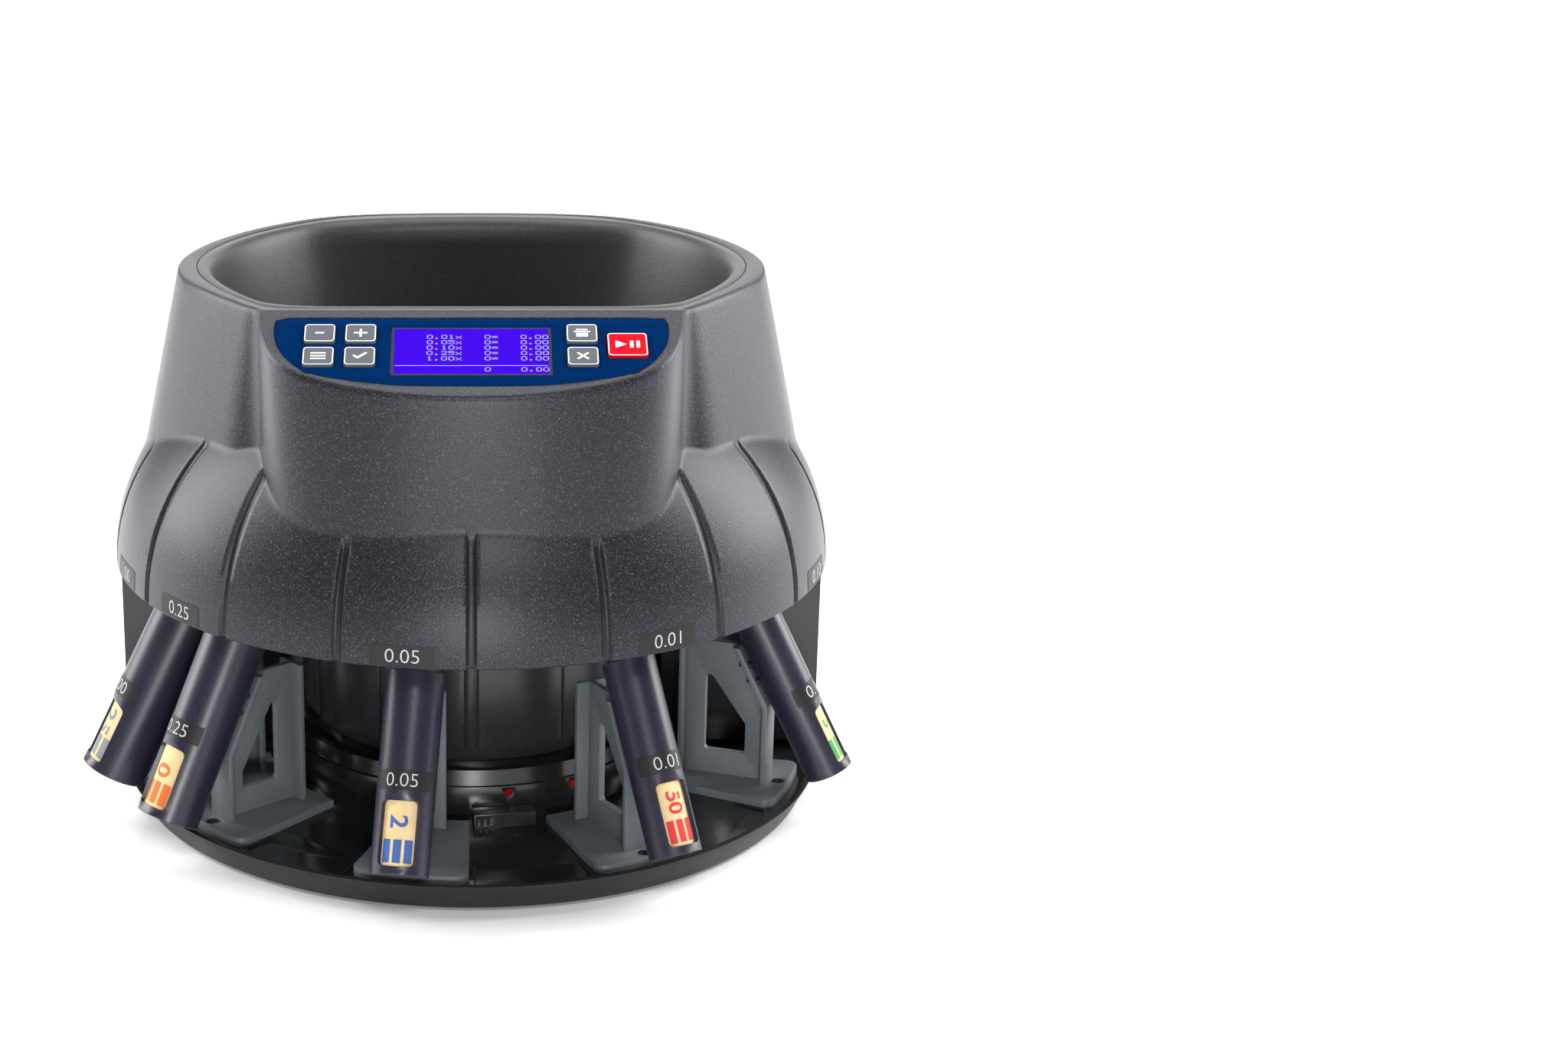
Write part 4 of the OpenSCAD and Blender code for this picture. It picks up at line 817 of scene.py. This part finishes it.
signs = {
    "minus": [bar(-2, -0.5, 2, 0.5)],
    "plus": [[(-0.5, -3), (0.5, -3), (0.5, -0.5), (3, -0.5), (3, 0.5), (0.5, 0.5), (0.5, 3), (-0.5, 3),
              (-0.5, 0.5), (-3, 0.5), (-3, -0.5), (-0.5, -0.5)]],
    "mode": [bar(-3.4, y - 0.45, 3.4, y + 0.45) for y in (-2.2, 0, 2.2)],
    "set": [[(-3.2, 0.1), (-2.4, 0.9), (-0.9, -0.7), (2.6, 2.9), (3.4, 2.1), (-0.9, -2.3)]],
    "print": [bar(-2.6, -3, 2.6, -0.2), bar(-3.6, 0.5, 3.6, 1.5), bar(-2.6, 2.2, 2.6, 3)],
    "clear": [[(-2.8, -2.1), (-2.1, -2.8), (0, -0.7), (2.1, -2.8), (2.8, -2.1), (0.7, 0), (2.8, 2.1),
               (2.1, 2.8), (0, 0.7), (-2.1, 2.8), (-2.8, 2.1), (-0.7, 0)]],
    "start": [[(-5.4, -2.9), (-0.4, 0), (-5.4, 2.9)], bar(1, -2.6, 2.6, 2.6), bar(3.9, -2.6, 5.5, 2.6)],
}
inkLow, inkHigh = keyTop + keys["inkLow"], keyTop + keys["inkHigh"]
for name, (u, v, w) in keySpots.items():
    keyBody = name + "_key"
    cap = slab(roundRect(w, w, keys["corner"], u, v), [], keys["footW"], keyTop, keys["edge"])
    key = onPanel(name + "Key", cap, "red" if name == "start" else "key", keyBody, 40)
    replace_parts(key, "key_" + name)
    ring, ringHole = (roundRect(w - d, w - d, corner, u, v) for d, corner in keys["ring"])
    inked = [slab(ring, [ringHole], inkLow, inkHigh)]
    inked += [slab([(u + x, v + y) for x, y in shape], [], inkLow, inkHigh) for shape in signs[name]]
    onPanel(name + "Sign", joinParts(inked), "ink", keyBody)
print("panel:", len(dots), "display dots")

# Coin tubes, wrappers, bands and brackets
tube = {"lean": math.radians(27.5), "footR": 188.0, "footZ": 25.5, "length": 93.0, "wall": 1.9, "gap": 1.0,
        "edge": 0.4, "lip": 0.35, "floor": 3.5, "window": (4.0, 33.5), "windowCorner": 2.4, "share": 0.64,
        "bandLow": 38.2, "bandHigh": 47.4, "bandW": 30.0, "bandText": 6.0, "squeeze": 1.06,
        "bandLift": 0.12, "textLift": 0.22}
peg = {"across": 5.0, "heights": (70.0, 78.0), "r": 1.5, "root": 3.0, "tip": 5.0, "chamfer": 0.4,
       "tipShare": 0.7}
wrapper = {"gap": 0.25, "paper": 0.4, "clear": 0.1, "spare": 6.0, "ink": 0.06, "textShare": 0.74,
           "textS": 24.0, "bars": (5.5, 16.0), "barStep": 0.46, "barHalf": 0.17}
label = {"w": 30.0, "low": 1.0, "high": 10.8, "lift": 0.15, "text": 6.2, "textMid": 5.9, "textLift": 0.28}
rollLengths = [50, 70, 78, 76, 67.5]
rollMarks = {"dollar": "25", "quarter": "10", "nickel": "2", "penny": "50", "dime": "5"}
values = {"dollar": "1.00", "quarter": "0.25", "nickel": "0.05", "penny": "0.01", "dime": "0.10"}
leanK = math.tan(tube["lean"])


def tubePlace(points, angle):  # across, outwards negative, and up along the tube
    p = np.asarray(points, float)
    c, s = math.cos(tube["lean"]), math.sin(tube["lean"])
    y, z = p[:, 1] * c + p[:, 2] * s - tube["footR"], p[:, 2] * c - p[:, 1] * s + tube["footZ"]
    return spin(np.stack([p[:, 0], y, z], 1), angle)


def rolled(flat, r):  # a flat drawing (arc length, height) bent onto a cylinder
    f = np.asarray(flat, float)
    return pointsAt(r, f[:, 0], f[:, 1])


def insideLoop(p, loop):
    x, y = p
    odd = False
    for (x1, y1), (x2, y2) in zip(loop, loop[1:] + loop[:1]):
        if (y1 > y) != (y2 > y) and x < (x2 - x1) * (y - y1) / (y2 - y1) + x1:
            odd = not odd
    return odd


def tubeSheet(r):  # the tube's wall unrolled, with a round-cornered window
    bottom, top = tube["window"]
    wide = 2 * math.asin(tube["share"]) * r
    hole = roundRect(wide, top - bottom, tube["windowCorner"], 0, (bottom + top) / 2, 5)
    around = [tuple(p) for p in shifted(hole, 1.0)]
    cols = np.linspace(-math.pi * r, math.pi * r, 65)
    levels = np.linspace(tube["edge"], tube["length"] - tube["edge"], 24)
    pts = [(u, s) for s in levels for u in cols if not insideLoop((u, s), around)]
    n = len(pts)
    edges = [(n + i, n + (i + 1) % len(hole)) for i in range(len(hole))]
    found = geometry.delaunay_2d_cdt([Vector(p) for p in pts + hole], edges, [], 0, 1e-5)
    flat = np.array([(v.x / r, v.y) for v in found[0]])
    origin = {o: i for i, group in enumerate(found[3]) for o in group}
    loop = [origin[n + i] for i in range(len(hole))]
    mids = [flat[list(f)].mean(0) * (r, 1) for f in found[2]]
    tris = [f for f, m in zip(found[2], mids) if not insideLoop(tuple(m), hole)]
    return flat, tris, loop


def ringBand(*rings):  # a band through rings of (radius, height)
    a = np.linspace(-math.pi, math.pi, 64, endpoint=False)
    return loopBand([pointsAt(r, a, s) for r, s in rings])


def tubeParts(r):
    inner, end, edge, lip = r - tube["wall"], tube["length"], tube["edge"], tube["lip"]
    flat, tris, loop = tubeSheet(r)
    n = len(flat)
    walls = [tuple(f) for f in tris] + [tuple(i + n for i in f[::-1]) for f in tris]
    walls += [(a, b, n + b, n + a) for a, b in zip(loop, loop[1:] + loop[:1])]
    return [(np.concatenate([rolled(flat, r), rolled(flat, inner)]), walls),
            ringBand((r, end - edge), (r - lip, end), (inner + lip, end), (inner, end - edge)),
            ringBand((r, edge), (r - edge, 0), (0.5, 0)),
            ringBand((inner, edge), (inner, tube["floor"]), (0.5, tube["floor"]))]


def patch(w, low, high, r):  # a curved label
    flat = [(x, y) for y in np.linspace(low, high, 4) for x in np.linspace(-w / 2, w / 2, 24) / r]
    return rolled(flat, r), gridFaces(4, 24, False)


def bentText(text, height, r, s, turned, squeeze):  # a turned one is printed bold
    pts, faces = writing(text, height, 0.022 if turned else -0.012)
    pts = pts * (squeeze, 1)
    if turned:
        pts = np.stack([pts[:, 1], -pts[:, 0]], 1)
    return rolled(np.column_stack([pts[:, 0] / r, pts[:, 1] + s]), r), faces


bracket = {"topZ": 87.0, "backR": 112.0, "outR": 157.5, "web": 3.5, "flangeW": 16.0, "flangeT": 3.0,
           "floorZ": 13.0, "plateZ": 17.0, "inR": 104.0, "plateOut": 168.0, "screwR": 162.0, "screwHole": 3.4,
           "gap": 0.4, "frame": 12.5, "drop": 18.0, "tip": 3.0, "corner": 6.0, "half": math.radians(9.6)}
bracketRound = {"hole": 2.2, "web": 1.0, "front": 0.9, "back": 0.8, "webEdge": 0.5, "edge": 0.6,
                "footEdge": 0.7}


def spin(points, angle):
    p = np.asarray(points, float)
    c, s = math.cos(math.radians(angle)), math.sin(math.radians(angle))
    return np.stack([p[:, 0] * c - p[:, 1] * s, p[:, 0] * s + p[:, 1] * c, p[:, 2]], 1)


def polar(r, t):
    return r * math.sin(t), -r * math.cos(t)


def roundLoop(corners, r, steps=5):  # rounds the corners of a polygon
    out, n = [], len(corners)
    for i in range(n):
        a, b, c = (np.array(corners[(i + k) % n], float) for k in (-1, 0, 1))
        d1, d2 = (a - b) / np.linalg.norm(a - b), (c - b) / np.linalg.norm(c - b)
        half = math.acos(max(-1, min(1, float(d1 @ d2)))) / 2
        reach = min(r / math.tan(half), 0.45 * np.linalg.norm(a - b), 0.45 * np.linalg.norm(c - b))
        start, end = b + d1 * reach, b + d2 * reach
        for t in np.linspace(0, 1, steps + 1):
            out.append(tuple(curveAt(start, b, end, t)))
    return out


def upright(parts, width):  # (radius, height, across) becomes front-facing
    pts, faces = parts
    p = np.asarray(pts, float)
    return np.stack([p[:, 2] - width / 2, -p[:, 0], p[:, 1]], 1), faces


def twoSided(outline, holes, width, edge):  # a plate rounded on both sides
    pts, faces = slab(outline, holes, 0, width / 2, edge)
    p = np.asarray(pts, float)
    flipped = np.stack([p[:, 0], p[:, 1], -p[:, 2]], 1)
    pts2, faces2 = joinParts([(p, faces), (flipped, [f[::-1] for f in faces])])
    return [(q[0], q[1], q[2] + width / 2) for q in pts2], faces2


def bracketParts(tubeR):
    offset = (tubeR + bracket["gap"]) / math.cos(tube["lean"])
    topR = tube["footR"] - (bracket["topZ"] - tube["footZ"]) * leanK - offset
    kneeZ = tube["footZ"] + (tube["footR"] - offset - bracket["outR"]) / leanK
    skin = bracket["flangeT"] / math.cos(tube["lean"])
    lowZ, backR, outR, topZ = bracket["floorZ"], bracket["backR"], bracket["outR"], bracket["topZ"]
    border = bracket["frame"]
    inR, edgeR, holeLow = backR + border, outR - border, bracket["plateZ"] + border
    holeTop = min(topZ - bracket["drop"], kneeZ + (edgeR - inR) / leanK - bracket["drop"])
    hole = roundLoop([(inR, holeLow), (edgeR, holeLow), (edgeR, kneeZ - border),
                      (inR + bracket["tip"], holeTop), (inR, holeTop)], bracketRound["hole"])
    web = roundLoop([(backR + 1, lowZ), (outR - 1, lowZ), (outR - 1, kneeZ - 0.4), (topR - 0.8, topZ),
                     (backR + 1, topZ)], bracketRound["web"])  # ends inside the flanges
    parts = [upright(twoSided(web, [hole], bracket["web"], bracketRound["webEdge"]), bracket["web"])]
    inner, flangeW = bracket["flangeT"], bracket["flangeW"]
    outer = [(outR, lowZ), (outR, kneeZ), (topR, topZ), (topR - skin, topZ),
             (outR - inner, kneeZ - (skin - inner) / leanK), (outR - inner, lowZ)]
    back = [(backR, lowZ), (backR + inner, lowZ), (backR + inner, topZ), (backR, topZ)]
    for flange, r in ((outer, bracketRound["front"]), (back, bracketRound["back"])):
        parts.append(upright(twoSided(roundLoop(flange, r), [], flangeW, bracketRound["edge"]), flangeW))
    half, corner = bracket["half"], bracket["corner"]
    midR = bracket["plateOut"] - corner
    wide = half - math.asin(corner / midR)
    foot = [polar(bracket["inR"], t) for t in np.linspace(half, -half, 8)]
    for side, span in ((-1, np.linspace(-90, 0, 7)), (1, np.linspace(0, 90, 7))):
        midX, midY = polar(midR, side * wide)
        arc = [polar(corner, side * wide + math.radians(a)) for a in span]
        foot += [(midX + x, midY + y) for x, y in arc]
        if side < 0:
            foot += [polar(bracket["plateOut"], t) for t in np.linspace(-wide, wide, 9)[1:-1]]
    hole = [(bracket["screwHole"] * math.cos(t), bracket["screwHole"] * math.sin(t) - bracket["screwR"])
            for t in fullTurn(28)]
    parts.append(slab(foot, [hole], lowZ, bracket["plateZ"], bracketRound["footEdge"]))
    return parts


def tubePegs(tubeR):  # four pegs that hold the tube on its bracket
    a = fullTurn(16)
    away = (tubeR + bracket["gap"]) / math.cos(tube["lean"])
    parts = []
    for side in (-peg["across"], peg["across"]):
        for z in peg["heights"]:
            back = tube["footR"] - (z - tube["footZ"]) * leanK - away
            tip = back - peg["tip"]
            rings = []
            for reach, share in ((back + peg["root"], 1), (tip + peg["chamfer"], 1), (tip, peg["tipShare"])):
                r = peg["r"] * share
                rings.append(np.stack([side + r * np.cos(a), np.full_like(a, -reach), z + r * np.sin(a)], 1))
            parts.append(loopBand(rings))
    return joinParts(parts)


def wrapParts(paperR, top):
    low, inner = tube["floor"] + wrapper["clear"], paperR - wrapper["paper"]
    return ringBand((inner, low), (paperR, low), (paperR, top), (inner, top), (inner, low))


def wrapPrint(mark, r):  # a number along the roll and three bars below it
    parts = [bentText(mark, wrapper["textShare"] * (r - wrapper["ink"]), r, wrapper["textS"], True, 1.1)]
    for k in (-1, 0, 1):
        across = k * wrapper["barStep"] + np.linspace(-wrapper["barHalf"], wrapper["barHalf"], 4)
        parts.append((rolled([(x, s) for s in wrapper["bars"] for x in across], r), gridFaces(2, 4, False)))
    return joinParts(parts)


def onDome(flat, lift, angle):  # a flat drawing laid on the skirt
    f = np.asarray(flat, float)
    up, arc = f[:, 1] / housing["arc"], housing["arc"] + lift
    r = housing["arcMid"] + arc * np.cos(up)
    t = math.radians(angle) + f[:, 0] / (housing["arcMid"] + housing["arc"])
    return pointsAt(r, t, housing["skirtZ"] + arc * np.sin(up))


def onTube(coin, part, solid, look, angle, weld=False):
    return makePiece(coin + part, tubePlace(solid[0], angle), solid[1], mats[look], coin + "_tube", 35, weld)


for coin, width, angle, roll in zip(coinNames, coinWidths, coinAngles, rollLengths):
    r = width / 2 + tube["gap"] + tube["wall"]
    shell = fixNormals(onTube(coin, "Tube", joinParts(tubeParts(r)), "tube", angle, True))
    pts, faces = tubePegs(r)
    fixNormals(makePiece(coin + "Pegs", spin(pts, angle), faces, mats["tube"], coin + "_tube"))
    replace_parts(shell, "tube_" + coin)
    band = patch(tube["bandW"], tube["bandLow"], tube["bandHigh"], r + tube["bandLift"])
    onTube(coin, "Band", band, "label", angle)
    bandMid = (tube["bandLow"] + tube["bandHigh"]) / 2
    text = bentText(values[coin], tube["bandText"], r + tube["textLift"], bandMid, False, tube["squeeze"])
    onTube(coin, "BandText", text, "labelInk", angle)
    paperR = width / 2 + tube["gap"] - wrapper["gap"]
    wrap = wrapParts(paperR, tube["floor"] + roll + wrapper["spare"])
    sheet = fixNormals(onTube(coin, "Wrapper", wrap, "kraft", angle))
    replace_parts(sheet, "wrapper_" + coin)
    onTube(coin, "Print", wrapPrint(rollMarks[coin], paperR + wrapper["ink"]), "print" + coin, angle)
    pts, faces = joinParts(bracketParts(r))
    arm = fixNormals(makePiece(coin + "Bracket", spin(pts, angle), faces, mats["bracket"], "machine", 40))
    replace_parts(arm, "bracket_" + coin)
    across = np.linspace(-label["w"] / 2, label["w"] / 2, 16)
    flat = [(x, y) for y in np.linspace(label["low"], label["high"], 4) for x in across]
    pts = onDome(flat, label["lift"], angle)
    makePiece(coin + "SkirtLabel", pts, gridFaces(4, 16, False), mats["label"], "machine")
    pts, faces = writing(values[coin], label["text"])
    pts = onDome(pts * (tube["squeeze"], 1) + (0, label["textMid"]), label["textLift"], angle)
    makePiece(coin + "SkirtText", pts, faces, mats["labelInk"], "machine")
print("tubes and brackets:", len(coinNames))

# Tray, column, rear housing and what stands on them
dressed = [
    ("trayShell", "base_tray", "rim", "base_black", 0.7),
    ("rubberFeet", "rubber_feet", "rubber", "rubber", 0.5),
    ("columnPlinth", "column_base", "base", "base_black", 0.35),
    ("columnDrum", "column_drum", "drum", "drum_black", 0.25),
    ("columnClip", "column_clip", "drum", "base_black", 0.25),
    ("plinthLamps", "indicator_lamps", "lamp", "lamp_red", 0.0),
    ("rearShell", "rear_housing", "base", "base_black", 0.8),
    ("skirtScrews", "housing_screws", "steel", "steel", 0.3),
    ("footScrews", "bracket_screws", "blackSteel", "black_steel", 0.15),
    ("inletSocket", "power_inlet", "socket", "socket_black", 0.4),
    ("switchFrame", "switch_frame", "socket", "socket_black", 0.4),
    ("portSocket", "printer_port", "socket", "socket_black", 0.4)]
for name, node, look, slotName, edge in dressed:
    dressNode(name, node, mats[look], "machine", edge)
tray = bpy.data.objects["trayShell"].data
tray.materials.append(mats["base"])  # the tray's floor shines more than its rim
for face in tray.polygons:
    if face.normal.z > 0.9 and face.center.z < (bracket["floorZ"] + 0.5) * mm:
        face.material_index = 1
dressNode("powerRocker", "power_rocker", mats["red"], "rocker", 0.3)
dressNode("feedDisc", "feed_disc", mats["disc"], "feed", 0.5)
dressNode("hubNut", "hub_nut", mats["steel"], "feed", 0.4)
inside = {"display_module": "module", "control_board": "board", "sorting_deck": "aluminium",
          "sorting_rail": "steel", "coin_chutes": "drum", "coin_sensors": "module", "paddle_ring": "paddle",
          "main_shaft": "steel", "drive_gear": "gear", "shaft_bearings": "bronze", "motor_plate": "zinc",
          "motor_body": "can", "motor_pinion": "bronze", "main_board": "board", "power_supply": "can"}
for node, look in inside.items():
    nodes[node].data.materials.clear()
    nodes[node].data.materials.append(mats[look])
ribs = {"r": 158.0, "z": 13.2, "side": 10.6, "size": (0.7, 16.0, 0.8)}
aims = [math.radians(angle + side) for angle in coinAngles for side in (-ribs["side"], ribs["side"])]
spots = [polar(ribs["r"], t) + (ribs["z"],) for t in aims]
scattered("trayRibs", spots, ribs["size"], mats["rim"], "machine", None, [(0, 0, t) for t in aims])
print("dressed:", len(dressed) + 3, "plain:", len(inside))

# Floor, lights and camera, in metres
def makeFloor():  # pale, and glowing more with distance so that it stays white behind the machine
    material = moulded("paleFloor", (0.84, 0.84, 0.85), 0.75, 60.0, 0.02, 0.01, 0.2)
    tree = material.node_tree
    coords = tree.nodes.new("ShaderNodeTexCoord").outputs["Object"]
    length = tree.nodes.new("ShaderNodeVectorMath")
    length.operation = "LENGTH"
    tree.links.new(coords, length.inputs[0])
    shader = tree.nodes["Principled BSDF"]
    shader.inputs["Emission Color"].default_value = (1, 1, 1, 1)
    glow = spread(tree, length.outputs["Value"], 0.14, 1.0, 0.25, 1.8)
    tree.links.new(glow, shader.inputs["Emission Strength"])
    return material


floorMesh = bpy.data.meshes.new("floor")
floorMesh.from_pydata([(-30, -12, 0), (30, -12, 0), (30, 60, 0), (-30, 60, 0)], [], [(0, 1, 2, 3)])
floorMesh.materials.append(makeFloor())
floor = newObject("floor", floorMesh)


def softbox(name, place, aim, size, power):
    lamp = bpy.data.lights.new(name, "AREA")
    lamp.shape = "RECTANGLE"
    lamp.size, lamp.size_y = size
    lamp.energy = power
    obj = newObject(name, lamp)
    obj.location = place
    obj.rotation_euler = (Vector(aim) - Vector(place)).to_track_quat("-Z", "Y").to_euler()


softbox("topLight", (0, 0.45, 1.9), (0, 0.1, 0.1), (2.0, 1.6), 38)
softbox("backLight", (0, 2.4, 0.95), (0, 0, 0.2), (3.0, 1.0), 22)
softbox("leftLight", (-1.3, 0.35, 0.8), (0, 0, 0.15), (0.9, 1.3), 32)
softbox("rightLight", (1.3, 0.35, 0.8), (0, 0, 0.15), (0.9, 1.3), 36)
softbox("frontLight", (0.15, -1.5, 1.4), (0, 0, 0.14), (0.4, 0.3), 12)
softbox("fillLight", (0.03, -2.2, 0.3), (0, 0, 0.18), (0.25, 0.2), 19)
world = bpy.data.worlds.new("studio")
world.use_nodes = True
sky = world.node_tree.nodes["Background"]
sky.inputs["Color"].default_value = (1, 1, 1, 1)
sky.inputs["Strength"].default_value = 0.06
bpy.context.scene.world = world
lens = bpy.data.cameras.new("photoCamera")
lens.sensor_width, lens.lens = 36.0, 63.2
lens.shift_x, lens.shift_y = 0.1994, 0.0255
camera = newObject("photoCamera", lens)
camera.location = (0, -1.3174, 0.5598)
camera.rotation_euler = (math.radians(71.244), 0, 0)
bpy.context.scene.camera = camera
bpy.context.scene.view_settings.view_transform = "Standard"
